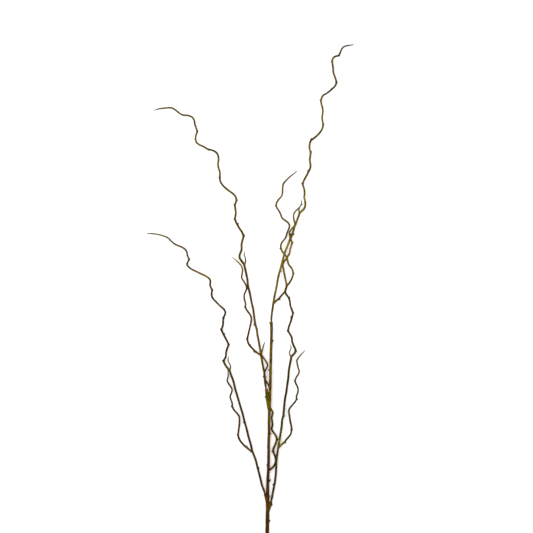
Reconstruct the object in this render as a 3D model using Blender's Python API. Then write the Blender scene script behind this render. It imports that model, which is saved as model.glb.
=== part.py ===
# A spray of curly willow, cut off at the foot and lying on a surface.
# Five stems: a main stem, and four lighter ones set in its three collars and its upper end.
# Metres, +Z up. Routes are measured from the middle of the cut end: x to the right,
# y along the main stem, z the height of a stem's centre line above the surface.

import bmesh
import bpy
from mathutils import Matrix, Vector

# Driving dimensions
BUTT_RADIUS = 0.0048            # main stem at its cut end
MAIN_RADIUS = 0.0036            # main stem half way up
STALK_RADIUS = 0.0028           # straight part of a side stem
CURL_TIP_RADIUS = 0.0017        # end of a curly tip
TWIG_ROOT_RADIUS = 0.0026       # side twig where it leaves its stalk
TWIG_TIP_RADIUS = 0.0015        # end of a side twig
SPUR_ROOT_RADIUS = 0.0018       # thin twig in the fork
SPUR_TIP_RADIUS = 0.0012
THINNING_FROM = 0.85            # a twig thins slowly up to this share of its length,
THINNING_TO = 0.85              # where it has this share of its root radius
SHANK_RADIUS = 0.0021           # foot of a side stem, inside its collar
SHANK_LENGTH = 0.0135           # the foot keeps its radius this far
SEAT_GAP = 0.0003               # play between a shank and its hole

# Middle of the finished footprint, measured from the cut end
FOOTPRINT_CENTRE = (-0.043074, 0.651348)

# Faceting
STALK_SIDES = 8
TWIG_SIDES = 6
STALK_STEP = 0.011              # ring spacing on straight stretches
CURL_STEP = 0.0065              # ring spacing on curly stretches
TWIG_STEP = 0.0065
SPUR_STEP = 0.0045
COLLAR_STEP = 0.005
TIP_LENGTH = 0.0012             # rounded end beyond the last ring
TIP_SHARE = 0.45                # its radius, as a share of the last ring's
KNOB_SEARCH = 0.002             # spacing of the places where a knob may sit
KNOB_PROUD = 0.8                # share of a knob's size that stands out of the bark at most
KNOB_LEAST = 0.0004             # a knob's centre is at least this far off the stem's centre line,
KNOB_MOST = 0.85                # and at most this share of the stem's radius
KNOB_STRETCH = 1.5              # a knob is longer along the stem than across it
SMOOTHING = 12                  # short pieces between two points of a route
FOOT_RINGS = 4                  # a shoot keeps its first rings, where its foot steps out to the stalk
CUTTER_OVERSHOOT = 0.003        # a hole's cutter passes the collar's rim by this much
NUB_RADII = (0.0018, 0.0011)    # root and tip of the main stem's nub
WELD = 0.00002                  # points closer than this become one

BARK_BROWN = (0.085, 0.048, 0.005, 1.0)
BARK_OLIVE = (0.105, 0.078, 0.008, 1.0)

# Main stem
MAIN_STALK = [
    (-0.0010, 0.0000, 0.0044), (-0.0010, 0.0500, 0.0044), (-0.0006, 0.0900, 0.0049),
    (0.0000, 0.1200, 0.0054), (0.0001, 0.1500, 0.0060), (0.0002, 0.1900, 0.0072),
    (0.0008, 0.2150, 0.0080), (0.0022, 0.2400, 0.0090), (0.0027, 0.2700, 0.0100),
    (0.0028, 0.3000, 0.0110), (0.0038, 0.3300, 0.0121), (0.0038, 0.3550, 0.0130),
    (0.0044, 0.3800, 0.0138), (0.0060, 0.4100, 0.0150), (0.0066, 0.4400, 0.0160),
    (0.0073, 0.4650, 0.0168), (0.0078, 0.4900, 0.0177), (0.0084, 0.5200, 0.0187),
    (0.0091, 0.5450, 0.0195), (0.0099, 0.5700, 0.0203), (0.0100, 0.5950, 0.0211),
    (0.0097, 0.6080, 0.0215),
]
MAIN_TAPER = [
    (0.000, BUTT_RADIUS), (0.105, 0.0047), (0.150, 0.0044), (0.200, 0.0038), (0.250, 0.0035),
    (0.300, 0.0036), (0.400, MAIN_RADIUS), (0.575, 0.0035), (0.598, 0.0037), (0.608, 0.0037),
]
MAIN_TWIG = [
    (0.0028, 0.2360, 0.0088), (0.0080, 0.2395, 0.0084), (0.0144, 0.2450, 0.0071),
    (0.0190, 0.2530, 0.0064), (0.0208, 0.2610, 0.0060), (0.0190, 0.2710, 0.0059),
    (0.0150, 0.2810, 0.0060), (0.0140, 0.2870, 0.0061), (0.0165, 0.2940, 0.0062),
    (0.0200, 0.3030, 0.0064), (0.0230, 0.3140, 0.0066), (0.0200, 0.3240, 0.0070),
    (0.0140, 0.3325, 0.0074), (0.0103, 0.3400, 0.0076), (0.0125, 0.3490, 0.0076),
    (0.0115, 0.3600, 0.0077), (0.0105, 0.3670, 0.0078), (0.0125, 0.3770, 0.0080),
    (0.0130, 0.3820, 0.0082), (0.0090, 0.3890, 0.0084), (0.0065, 0.3940, 0.0086),
    (0.0045, 0.4050, 0.0088), (0.0040, 0.4200, 0.0090), (0.0052, 0.4350, 0.0092),
    (0.0037, 0.4470, 0.0098), (0.0003, 0.4530, 0.0104), (-0.0035, 0.4595, 0.0112),
    (-0.0075, 0.4680, 0.0122), (-0.0085, 0.4770, 0.0130), (-0.0058, 0.4855, 0.0135),
    (-0.0022, 0.4925, 0.0138), (0.0002, 0.5000, 0.0140), (-0.0038, 0.5090, 0.0143),
    (-0.0100, 0.5180, 0.0148), (-0.0138, 0.5235, 0.0152), (-0.0144, 0.5290, 0.0158),
    (-0.0133, 0.5360, 0.0165), (-0.0113, 0.5430, 0.0170), (-0.0092, 0.5510, 0.0173),
    (-0.0065, 0.5575, 0.0175),
]
LEFT_COLLAR = [
    (-0.0002, 0.1500, 0.0060), (-0.0014, 0.1590, 0.0063), (-0.0033, 0.1680, 0.0066),
    (-0.0060, 0.1770, 0.0070),
]
RIGHT_COLLAR = [
    (0.0012, 0.1300, 0.0054), (0.0038, 0.1400, 0.0058), (0.0062, 0.1480, 0.0061),
    (0.0086, 0.1570, 0.0064),
]
UPPER_COLLAR = [
    (0.0038, 0.3830, 0.0140), (0.0024, 0.3980, 0.0158), (0.0009, 0.4120, 0.0172),
    (-0.0009, 0.4270, 0.0182), (-0.0028, 0.4400, 0.0190),
]
LEFT_COLLAR_TAPER = [(0.0, 0.0030), (0.010, 0.0037), (0.020, 0.0038), (0.030, 0.0035)]
RIGHT_COLLAR_TAPER = [(0.0, 0.0028), (0.010, 0.0036), (0.020, 0.0038), (0.030, 0.0035)]
UPPER_COLLAR_TAPER = [(0.0, 0.0026), (0.015, 0.0042), (0.030, 0.0048), (0.045, 0.0045), (0.060, 0.0039)]
MAIN_KNOBS = [
    (0.0050, 0.1100, 0.0022), (0.0118, 0.1500, 0.0019), (0.0052, 0.1710, 0.0018),
    (-0.0015, 0.2500, 0.0017), (0.0078, 0.3280, 0.0018), (-0.0060, 0.4200, 0.0019),
    (0.0035, 0.4885, 0.0018), (0.0142, 0.5610, 0.0020), (0.0052, 0.6060, 0.0018),
    (0.0245, 0.3140, 0.0014), (0.0120, 0.2835, 0.0014),
]
MAIN_NUB = [(0.0010, 0.2085, 0.0080), (0.0048, 0.2105, 0.0084), (0.0080, 0.2130, 0.0090)]

# Left stem
LEFT_STALK = [
    (-0.0033, 0.1682, 0.0066), (-0.0060, 0.1770, 0.0070), (-0.0106, 0.1900, 0.0074),
    (-0.0142, 0.2000, 0.0078), (-0.0188, 0.2200, 0.0084), (-0.0242, 0.2400, 0.0090),
    (-0.0289, 0.2600, 0.0096), (-0.0340, 0.2740, 0.0100), (-0.0386, 0.2860, 0.0104),
    (-0.0415, 0.3000, 0.0108), (-0.0475, 0.3200, 0.0114), (-0.0515, 0.3370, 0.0118),
    (-0.0575, 0.3590, 0.0124), (-0.0628, 0.3800, 0.0128), (-0.0690, 0.4000, 0.0131),
    (-0.0748, 0.4200, 0.0133), (-0.0806, 0.4400, 0.0134), (-0.0856, 0.4600, 0.0135),
    (-0.0915, 0.4760, 0.0135), (-0.0960, 0.4870, 0.0136),
]
LEFT_CURL = [
    (-0.1030, 0.4960, 0.0144), (-0.1080, 0.5050, 0.0152), (-0.1086, 0.5120, 0.0155),
    (-0.1044, 0.5210, 0.0146), (-0.1036, 0.5310, 0.0130), (-0.1009, 0.5410, 0.0112),
    (-0.0980, 0.5510, 0.0092), (-0.1028, 0.5625, 0.0076), (-0.1094, 0.5750, 0.0072),
    (-0.1148, 0.5880, 0.0082), (-0.1118, 0.5990, 0.0100), (-0.1110, 0.6120, 0.0118),
    (-0.1088, 0.6210, 0.0127), (-0.1055, 0.6300, 0.0130), (-0.1088, 0.6390, 0.0122),
    (-0.1200, 0.6490, 0.0098), (-0.1300, 0.6590, 0.0070), (-0.1384, 0.6690, 0.0042),
    (-0.1400, 0.6790, 0.0029), (-0.1392, 0.6875, 0.0021), (-0.1418, 0.6940, 0.0020),
    (-0.1440, 0.7000, 0.0020), (-0.1430, 0.7080, 0.0020), (-0.1450, 0.7150, 0.0024),
    (-0.1540, 0.7220, 0.0034), (-0.1638, 0.7268, 0.0056), (-0.1775, 0.7335, 0.0088),
    (-0.1906, 0.7400, 0.0114), (-0.1985, 0.7463, 0.0128), (-0.2013, 0.7525, 0.0132),
    (-0.1985, 0.7595, 0.0126), (-0.1966, 0.7650, 0.0114), (-0.2000, 0.7725, 0.0092),
    (-0.2016, 0.7805, 0.0070), (-0.2050, 0.7880, 0.0054), (-0.2140, 0.7945, 0.0046),
    (-0.2275, 0.8000, 0.0052), (-0.2355, 0.8050, 0.0064), (-0.2420, 0.8112, 0.0084),
    (-0.2500, 0.8185, 0.0108), (-0.2610, 0.8230, 0.0126), (-0.2740, 0.8265, 0.0136),
    (-0.2880, 0.8283, 0.0138), (-0.3012, 0.8288, 0.0132),
]
LEFT_TAPER = [
    (0.000, SHANK_RADIUS), (SHANK_LENGTH, SHANK_RADIUS), (0.0195, 0.0027), (0.060, STALK_RADIUS),
    (0.330, 0.0028), (0.400, 0.0026), (0.600, 0.0024), (0.720, 0.0022), (0.780, 0.0019),
    (0.807, CURL_TIP_RADIUS),
]
LEFT_TWIG = [
    (-0.0365, 0.2812, 0.0102), (-0.0415, 0.2845, 0.0106), (-0.0456, 0.2880, 0.0112),
    (-0.0510, 0.2925, 0.0120), (-0.0600, 0.3005, 0.0132), (-0.0675, 0.3095, 0.0143),
    (-0.0722, 0.3190, 0.0149), (-0.0733, 0.3270, 0.0150), (-0.0720, 0.3390, 0.0142),
    (-0.0706, 0.3500, 0.0130), (-0.0700, 0.3620, 0.0118), (-0.0712, 0.3715, 0.0111),
    (-0.0770, 0.3800, 0.0110), (-0.0838, 0.3875, 0.0116), (-0.0881, 0.3965, 0.0130),
    (-0.0885, 0.4050, 0.0146), (-0.0915, 0.4130, 0.0158), (-0.0932, 0.4220, 0.0165),
    (-0.0900, 0.4310, 0.0163), (-0.0886, 0.4380, 0.0155), (-0.0920, 0.4460, 0.0140),
    (-0.0985, 0.4550, 0.0118), (-0.1007, 0.4625, 0.0104), (-0.0985, 0.4715, 0.0096),
    (-0.0988, 0.4800, 0.0090), (-0.0995, 0.4870, 0.0086),
]
LEFT_SPUR = [
    (-0.0945, 0.4850, 0.0136), (-0.0928, 0.4930, 0.0145), (-0.0930, 0.4995, 0.0155),
    (-0.0962, 0.5055, 0.0160), (-0.0984, 0.5105, 0.0161), (-0.0984, 0.5150, 0.0157),
    (-0.0968, 0.5210, 0.0150),
]
LEFT_KNOBS = [
    (-0.0212, 0.2430, 0.0016), (-0.0602, 0.3560, 0.0016), (-0.0522, 0.2950, 0.0017),
    (-0.0745, 0.3255, 0.0014), (-0.0900, 0.3970, 0.0014), (-0.1115, 0.5110, 0.0019),
    (-0.0965, 0.5510, 0.0014), (-0.1070, 0.5785, 0.0017), (-0.1165, 0.5890, 0.0014),
    (-0.1125, 0.6190, 0.0014), (-0.1370, 0.6880, 0.0013), (-0.1945, 0.7645, 0.0012),
]

# Right stem
RIGHT_STALK = [
    (0.0060, 0.1474, 0.0061), (0.0086, 0.1570, 0.0064), (0.0110, 0.1670, 0.0070),
    (0.0132, 0.1800, 0.0078), (0.0172, 0.2000, 0.0090), (0.0198, 0.2180, 0.0099),
    (0.0215, 0.2380, 0.0109), (0.0222, 0.2600, 0.0119), (0.0242, 0.2770, 0.0126),
    (0.0263, 0.2900, 0.0131), (0.0289, 0.3050, 0.0138), (0.0312, 0.3200, 0.0144),
    (0.0338, 0.3360, 0.0150), (0.0357, 0.3500, 0.0155), (0.0365, 0.3620, 0.0159),
    (0.0389, 0.3715, 0.0162), (0.0404, 0.3820, 0.0165), (0.0418, 0.3980, 0.0170),
    (0.0436, 0.4150, 0.0174), (0.0466, 0.4300, 0.0177), (0.0484, 0.4440, 0.0180),
    (0.0505, 0.4580, 0.0181), (0.0520, 0.4700, 0.0182), (0.0532, 0.4850, 0.0183),
    (0.0556, 0.5000, 0.0183), (0.0580, 0.5120, 0.0183), (0.0600, 0.5210, 0.0184),
]
RIGHT_CURL = [
    (0.0656, 0.5270, 0.0188), (0.0694, 0.5330, 0.0194), (0.0694, 0.5400, 0.0200),
    (0.0648, 0.5495, 0.0208), (0.0616, 0.5590, 0.0213), (0.0605, 0.5690, 0.0216),
    (0.0560, 0.5775, 0.0219), (0.0520, 0.5850, 0.0220), (0.0530, 0.5945, 0.0214),
    (0.0575, 0.6070, 0.0204), (0.0605, 0.6170, 0.0198), (0.0630, 0.6280, 0.0198),
    (0.0612, 0.6375, 0.0204), (0.0572, 0.6480, 0.0213), (0.0555, 0.6600, 0.0222),
    (0.0520, 0.6695, 0.0231), (0.0460, 0.6780, 0.0240), (0.0446, 0.6860, 0.0245),
    (0.0475, 0.6960, 0.0246), (0.0550, 0.7060, 0.0245), (0.0610, 0.7170, 0.0255),
    (0.0638, 0.7290, 0.0266), (0.0614, 0.7400, 0.0272), (0.0540, 0.7495, 0.0271),
    (0.0504, 0.7590, 0.0265), (0.0482, 0.7685, 0.0259), (0.0420, 0.7770, 0.0257),
    (0.0360, 0.7855, 0.0260), (0.0332, 0.7945, 0.0262), (0.0345, 0.8035, 0.0260),
    (0.0400, 0.8115, 0.0254), (0.0458, 0.8195, 0.0248), (0.0485, 0.8290, 0.0245),
    (0.0528, 0.8395, 0.0244), (0.0549, 0.8480, 0.0242), (0.0510, 0.8560, 0.0236),
    (0.0430, 0.8620, 0.0226), (0.0360, 0.8680, 0.0214), (0.0328, 0.8770, 0.0200),
    (0.0276, 0.8865, 0.0186), (0.0224, 0.8950, 0.0174), (0.0222, 0.9040, 0.0163),
    (0.0268, 0.9125, 0.0153), (0.0340, 0.9210, 0.0145), (0.0372, 0.9290, 0.0140),
    (0.0376, 0.9400, 0.0138), (0.0393, 0.9520, 0.0140), (0.0460, 0.9610, 0.0142),
    (0.0563, 0.9710, 0.0141), (0.0660, 0.9785, 0.0137), (0.0732, 0.9842, 0.0132),
]
RIGHT_TAPER = [
    (0.000, SHANK_RADIUS), (SHANK_LENGTH, SHANK_RADIUS), (0.0195, 0.0027), (0.060, STALK_RADIUS),
    (0.300, 0.0030), (0.370, 0.0030), (0.410, 0.0027), (0.600, 0.0025), (0.700, 0.0024), (0.860, 0.0023),
    (0.906, CURL_TIP_RADIUS),
]
RIGHT_TWIG = [
    (0.0266, 0.2920, 0.0132), (0.0325, 0.2985, 0.0140), (0.0375, 0.3030, 0.0147),
    (0.0425, 0.3075, 0.0155), (0.0470, 0.3135, 0.0161), (0.0530, 0.3205, 0.0167),
    (0.0580, 0.3275, 0.0170), (0.0598, 0.3370, 0.0164), (0.0595, 0.3470, 0.0154),
    (0.0570, 0.3590, 0.0143), (0.0548, 0.3730, 0.0140), (0.0533, 0.3845, 0.0148),
    (0.0558, 0.3922, 0.0163), (0.0620, 0.4000, 0.0178), (0.0685, 0.4075, 0.0190),
    (0.0721, 0.4145, 0.0196), (0.0725, 0.4220, 0.0193), (0.0755, 0.4310, 0.0182),
    (0.0765, 0.4385, 0.0170), (0.0740, 0.4475, 0.0154), (0.0705, 0.4545, 0.0146),
    (0.0692, 0.4615, 0.0145), (0.0717, 0.4685, 0.0153), (0.0770, 0.4775, 0.0168),
    (0.0793, 0.4840, 0.0175), (0.0770, 0.4915, 0.0171), (0.0750, 0.5000, 0.0161),
    (0.0734, 0.5105, 0.0151), (0.0762, 0.5165, 0.0151), (0.0838, 0.5262, 0.0160),
    (0.0888, 0.5312, 0.0168), (0.0932, 0.5365, 0.0175),
]
RIGHT_SPUR = [
    (0.0592, 0.5195, 0.0184), (0.0562, 0.5250, 0.0189), (0.0546, 0.5315, 0.0194),
    (0.0570, 0.5370, 0.0199), (0.0588, 0.5435, 0.0203), (0.0575, 0.5505, 0.0205),
]
RIGHT_KNOBS = [
    (0.0125, 0.2010, 0.0017), (0.0425, 0.3735, 0.0016), (0.0455, 0.3060, 0.0018),
    (0.0620, 0.3400, 0.0013), (0.0755, 0.4138, 0.0014), (0.0668, 0.4615, 0.0013),
    (0.0712, 0.5345, 0.0014), (0.0500, 0.5860, 0.0015), (0.0557, 0.6205, 0.0018),
    (0.0652, 0.6305, 0.0014), (0.0545, 0.6690, 0.0015), (0.0655, 0.7290, 0.0013),
    (0.0315, 0.7915, 0.0014), (0.0210, 0.8980, 0.0012),
]

# Upper left stem
UPPER_STALK = [
    (-0.0019, 0.4295, 0.0184), (-0.0034, 0.4400, 0.0190), (-0.0052, 0.4500, 0.0195),
    (-0.0066, 0.4610, 0.0200), (-0.0070, 0.4710, 0.0204), (-0.0080, 0.4810, 0.0208),
    (-0.0101, 0.4910, 0.0212), (-0.0122, 0.5020, 0.0216), (-0.0138, 0.5110, 0.0219),
    (-0.0163, 0.5250, 0.0223), (-0.0180, 0.5370, 0.0227), (-0.0204, 0.5510, 0.0231),
    (-0.0228, 0.5640, 0.0235), (-0.0252, 0.5760, 0.0238), (-0.0265, 0.5880, 0.0240),
    (-0.0300, 0.6000, 0.0243), (-0.0325, 0.6150, 0.0245), (-0.0352, 0.6360, 0.0246),
    (-0.0388, 0.6530, 0.0245), (-0.0418, 0.6680, 0.0243), (-0.0450, 0.6830, 0.0239),
    (-0.0485, 0.6975, 0.0234), (-0.0503, 0.7140, 0.0228), (-0.0533, 0.7290, 0.0222),
    (-0.0563, 0.7420, 0.0217), (-0.0588, 0.7515, 0.0214),
]
UPPER_CURL = [
    (-0.0640, 0.7590, 0.0203), (-0.0688, 0.7660, 0.0190), (-0.0700, 0.7735, 0.0178),
    (-0.0675, 0.7810, 0.0168), (-0.0648, 0.7890, 0.0162), (-0.0650, 0.8000, 0.0163),
    (-0.0628, 0.8110, 0.0175), (-0.0602, 0.8215, 0.0192), (-0.0635, 0.8315, 0.0208),
    (-0.0690, 0.8400, 0.0220), (-0.0740, 0.8480, 0.0228), (-0.0790, 0.8580, 0.0229),
    (-0.0810, 0.8665, 0.0223), (-0.0792, 0.8790, 0.0204), (-0.0805, 0.8910, 0.0185),
    (-0.0812, 0.9000, 0.0172), (-0.0782, 0.9100, 0.0162), (-0.0790, 0.9185, 0.0163),
    (-0.0850, 0.9270, 0.0176), (-0.0938, 0.9335, 0.0194), (-0.1040, 0.9415, 0.0211),
    (-0.1130, 0.9505, 0.0219), (-0.1183, 0.9605, 0.0216), (-0.1190, 0.9720, 0.0200),
    (-0.1192, 0.9820, 0.0182), (-0.1222, 0.9920, 0.0160), (-0.1238, 1.0020, 0.0140),
    (-0.1225, 1.0145, 0.0124), (-0.1245, 1.0260, 0.0120), (-0.1310, 1.0335, 0.0125),
    (-0.1400, 1.0375, 0.0136), (-0.1495, 1.0397, 0.0149), (-0.1605, 1.0462, 0.0166),
    (-0.1700, 1.0503, 0.0177), (-0.1770, 1.0557, 0.0181), (-0.1800, 1.0640, 0.0174),
    (-0.1790, 1.0735, 0.0158), (-0.1762, 1.0830, 0.0140), (-0.1785, 1.0925, 0.0121),
    (-0.1818, 1.1020, 0.0105), (-0.1834, 1.1120, 0.0093), (-0.1890, 1.1200, 0.0087),
    (-0.1990, 1.1241, 0.0086), (-0.2110, 1.1250, 0.0094), (-0.2200, 1.1294, 0.0107),
    (-0.2294, 1.1369, 0.0122), (-0.2385, 1.1425, 0.0132), (-0.2500, 1.1430, 0.0134),
    (-0.2600, 1.1420, 0.0131), (-0.2720, 1.1405, 0.0123), (-0.2845, 1.1367, 0.0112),
]
UPPER_TAPER = [
    (0.000, SHANK_RADIUS), (SHANK_LENGTH, SHANK_RADIUS), (0.0195, 0.0027), (0.060, STALK_RADIUS),
    (0.330, 0.0028), (0.550, 0.0026), (0.700, 0.0024), (0.830, 0.0023), (0.867, CURL_TIP_RADIUS),
]
UPPER_TWIG = [
    (-0.0165, 0.5255, 0.0224), (-0.0225, 0.5285, 0.0228), (-0.0270, 0.5315, 0.0232),
    (-0.0318, 0.5355, 0.0237), (-0.0380, 0.5420, 0.0243), (-0.0440, 0.5485, 0.0248),
    (-0.0485, 0.5565, 0.0252), (-0.0500, 0.5655, 0.0251), (-0.0478, 0.5780, 0.0243),
    (-0.0445, 0.5920, 0.0230), (-0.0415, 0.6055, 0.0219), (-0.0402, 0.6160, 0.0214),
    (-0.0430, 0.6250, 0.0216), (-0.0495, 0.6340, 0.0226), (-0.0548, 0.6430, 0.0240),
    (-0.0550, 0.6540, 0.0255), (-0.0580, 0.6660, 0.0267), (-0.0578, 0.6765, 0.0272),
    (-0.0540, 0.6855, 0.0272), (-0.0520, 0.6935, 0.0270), (-0.0550, 0.7020, 0.0264),
    (-0.0605, 0.7110, 0.0256), (-0.0648, 0.7190, 0.0250), (-0.0632, 0.7290, 0.0246),
    (-0.0625, 0.7390, 0.0246), (-0.0655, 0.7478, 0.0251), (-0.0725, 0.7562, 0.0259),
    (-0.0810, 0.7637, 0.0266), (-0.0878, 0.7692, 0.0270),
]
UPPER_SPUR = [
    (-0.0578, 0.7480, 0.0215), (-0.0556, 0.7550, 0.0222), (-0.0545, 0.7625, 0.0230),
    (-0.0560, 0.7690, 0.0236), (-0.0580, 0.7760, 0.0239), (-0.0574, 0.7830, 0.0240),
]
UPPER_KNOBS = [
    (-0.0098, 0.4710, 0.0017), (-0.0042, 0.4700, 0.0014), (-0.0326, 0.6010, 0.0016),
    (-0.0330, 0.5340, 0.0018), (-0.0402, 0.5530, 0.0012), (-0.0518, 0.5655, 0.0014),
    (-0.0570, 0.6450, 0.0014), (-0.0580, 0.8245, 0.0015), (-0.0725, 0.8535, 0.0018),
    (-0.0828, 0.8650, 0.0014), (-0.0830, 0.9010, 0.0014), (-0.0762, 0.9120, 0.0014),
    (-0.1210, 0.9690, 0.0013), (-0.1480, 1.0372, 0.0013), (-0.1742, 1.0850, 0.0012),
]

# Top stem
TOP_STALK = [
    (0.0100, 0.5965, 0.0211), (0.0097, 0.6080, 0.0215), (0.0098, 0.6180, 0.0218),
    (0.0112, 0.6310, 0.0222), (0.0130, 0.6430, 0.0226), (0.0152, 0.6580, 0.0230),
    (0.0174, 0.6720, 0.0233), (0.0208, 0.6870, 0.0235), (0.0236, 0.7010, 0.0235),
    (0.0258, 0.7150, 0.0232), (0.0290, 0.7290, 0.0226), (0.0325, 0.7410, 0.0220),
    (0.0354, 0.7525, 0.0213), (0.0386, 0.7640, 0.0207), (0.0418, 0.7760, 0.0204),
    (0.0462, 0.7885, 0.0204), (0.0508, 0.7995, 0.0206), (0.0552, 0.8115, 0.0208),
    (0.0602, 0.8230, 0.0212), (0.0642, 0.8340, 0.0217), (0.0676, 0.8460, 0.0224),
    (0.0720, 0.8570, 0.0232), (0.0760, 0.8680, 0.0240), (0.0805, 0.8790, 0.0247),
]
TOP_CURL = [
    (0.0852, 0.8843, 0.0250), (0.0900, 0.8885, 0.0248), (0.0934, 0.8950, 0.0240),
    (0.0944, 0.9030, 0.0226), (0.0936, 0.9105, 0.0210), (0.0919, 0.9190, 0.0193),
    (0.0925, 0.9300, 0.0178), (0.0913, 0.9400, 0.0171), (0.0885, 0.9500, 0.0170),
    (0.0896, 0.9580, 0.0168), (0.0938, 0.9665, 0.0158), (0.0985, 0.9755, 0.0142),
    (0.1035, 0.9850, 0.0122), (0.1072, 0.9940, 0.0104), (0.1070, 1.0040, 0.0092),
    (0.1057, 1.0125, 0.0090), (0.1068, 1.0230, 0.0102), (0.1074, 1.0320, 0.0112),
    (0.1050, 1.0415, 0.0113), (0.1052, 1.0520, 0.0101), (0.1088, 1.0615, 0.0081),
    (0.1175, 1.0685, 0.0059), (0.1270, 1.0770, 0.0038), (0.1345, 1.0865, 0.0026),
    (0.1382, 1.0950, 0.0019), (0.1387, 1.1030, 0.0019), (0.1374, 1.1120, 0.0019),
    (0.1368, 1.1200, 0.0023), (0.1384, 1.1340, 0.0036), (0.1374, 1.1440, 0.0052),
    (0.1344, 1.1540, 0.0074), (0.1342, 1.1645, 0.0096), (0.1392, 1.1742, 0.0111),
    (0.1488, 1.1798, 0.0118), (0.1565, 1.1860, 0.0117), (0.1650, 1.1935, 0.0108),
    (0.1707, 1.2010, 0.0093), (0.1718, 1.2100, 0.0076), (0.1682, 1.2220, 0.0061),
    (0.1645, 1.2330, 0.0055), (0.1640, 1.2440, 0.0060), (0.1622, 1.2555, 0.0074),
    (0.1630, 1.2660, 0.0093), (0.1690, 1.2715, 0.0109), (0.1780, 1.2745, 0.0119),
    (0.1820, 1.2820, 0.0121), (0.1860, 1.2910, 0.0115), (0.1925, 1.2967, 0.0107),
    (0.2040, 1.2995, 0.0099), (0.2150, 1.3010, 0.0092),
]
TOP_TAPER = [
    (0.000, SHANK_RADIUS), (SHANK_LENGTH, SHANK_RADIUS), (0.0195, 0.0027), (0.060, STALK_RADIUS),
    (0.290, 0.0027), (0.480, 0.0025), (0.560, 0.0023), (0.740, 0.0024), (0.795, CURL_TIP_RADIUS),
]
TOP_TWIG = [
    (0.0145, 0.6535, 0.0229), (0.0195, 0.6585, 0.0223), (0.0245, 0.6628, 0.0214),
    (0.0294, 0.6670, 0.0205), (0.0344, 0.6730, 0.0198), (0.0395, 0.6790, 0.0189),
    (0.0440, 0.6850, 0.0180), (0.0470, 0.6930, 0.0179), (0.0473, 0.7000, 0.0181),
    (0.0457, 0.7100, 0.0188), (0.0437, 0.7200, 0.0187), (0.0412, 0.7320, 0.0185),
    (0.0390, 0.7430, 0.0180), (0.0381, 0.7510, 0.0176), (0.0408, 0.7575, 0.0176),
    (0.0460, 0.7645, 0.0180), (0.0510, 0.7720, 0.0184), (0.0552, 0.7800, 0.0184),
    (0.0566, 0.7890, 0.0180), (0.0592, 0.7980, 0.0173), (0.0610, 0.8060, 0.0166),
    (0.0585, 0.8135, 0.0161), (0.0558, 0.8210, 0.0160), (0.0546, 0.8300, 0.0162),
    (0.0575, 0.8360, 0.0166), (0.0625, 0.8425, 0.0172), (0.0672, 0.8480, 0.0177),
    (0.0678, 0.8560, 0.0183), (0.0655, 0.8650, 0.0192), (0.0652, 0.8750, 0.0204),
    (0.0690, 0.8835, 0.0214), (0.0762, 0.8905, 0.0222), (0.0830, 0.8985, 0.0228),
    (0.0878, 0.9015, 0.0231),
]
TOP_SPUR = [
    (0.0795, 0.8775, 0.0246), (0.0785, 0.8850, 0.0256), (0.0796, 0.8925, 0.0267),
    (0.0830, 0.8990, 0.0274), (0.0851, 0.9055, 0.0273), (0.0840, 0.9130, 0.0266),
]
TOP_KNOBS = [
    (0.0345, 0.7345, 0.0018), (0.0300, 0.6655, 0.0018), (0.0592, 0.8270, 0.0024),
    (0.0650, 0.8270, 0.0022), (0.0625, 0.8055, 0.0013), (0.0865, 0.9540, 0.0016),
    (0.1000, 0.9862, 0.0018), (0.1097, 1.0325, 0.0017), (0.1100, 1.0655, 0.0018),
    (0.1406, 1.1030, 0.0014), (0.1322, 1.1630, 0.0015), (0.1738, 1.2060, 0.0013),
    (0.1602, 1.2590, 0.0014), (0.1800, 1.2730, 0.0013), (0.1600, 1.1925, 0.0012),
]


def clear_scene():
    for item in list(bpy.data.objects):
        bpy.data.objects.remove(item, do_unlink=True)


def make_material(name, color):
    material = bpy.data.materials.new(name)
    material.use_nodes = True
    shader = material.node_tree.nodes["Principled BSDF"]
    shader.inputs["Base Color"].default_value = color
    shader.inputs["Roughness"].default_value = 0.72
    shader.inputs["Metallic"].default_value = 0.0
    return material


def curve_point(before, start, end, after, t):
    # a Catmull-Rom curve passes through every point of its route
    return 0.5 * (2 * start + (end - before) * t
                  + (2 * before - 5 * start + 4 * end - after) * t * t
                  + (3 * start - before - 3 * end + after) * t * t * t)


def dense_route(route):
    points = [Vector(p) for p in route]
    points = [2 * points[0] - points[1]] + points + [2 * points[-1] - points[-2]]
    dense = []
    for i in range(1, len(points) - 2):
        for j in range(SMOOTHING):
            dense.append(curve_point(points[i - 1], points[i], points[i + 1], points[i + 2], j / SMOOTHING))
    dense.append(points[-2])
    return dense


def spaced_points(route, step):
    # even spacing along the smooth curve, with both ends kept
    dense = dense_route(route)
    reach = [0.0]
    for a, b in zip(dense, dense[1:]):
        reach.append(reach[-1] + (b - a).length)
    count = max(2, round(reach[-1] / step))
    places = []
    j = 0
    for i in range(count + 1):
        target = reach[-1] * i / count
        while j < len(reach) - 2 and reach[j + 1] < target:
            j += 1
        share = (target - reach[j]) / max(reach[j + 1] - reach[j], 1e-9)
        places.append(dense[j].lerp(dense[j + 1], share))
    return places


def taper_at(stops, reach):
    for (a, ra), (b, rb) in zip(stops, stops[1:]):
        if reach <= b:
            return ra + (rb - ra) * max(reach - a, 0.0) / (b - a)
    return stops[-1][1]


def twig_thinning(route, root_radius, tip_radius):
    dense = dense_route(route)
    length = sum((b - a).length for a, b in zip(dense, dense[1:]))
    return [(0.0, root_radius), (length * THINNING_FROM, root_radius * THINNING_TO), (length, tip_radius)]


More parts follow.
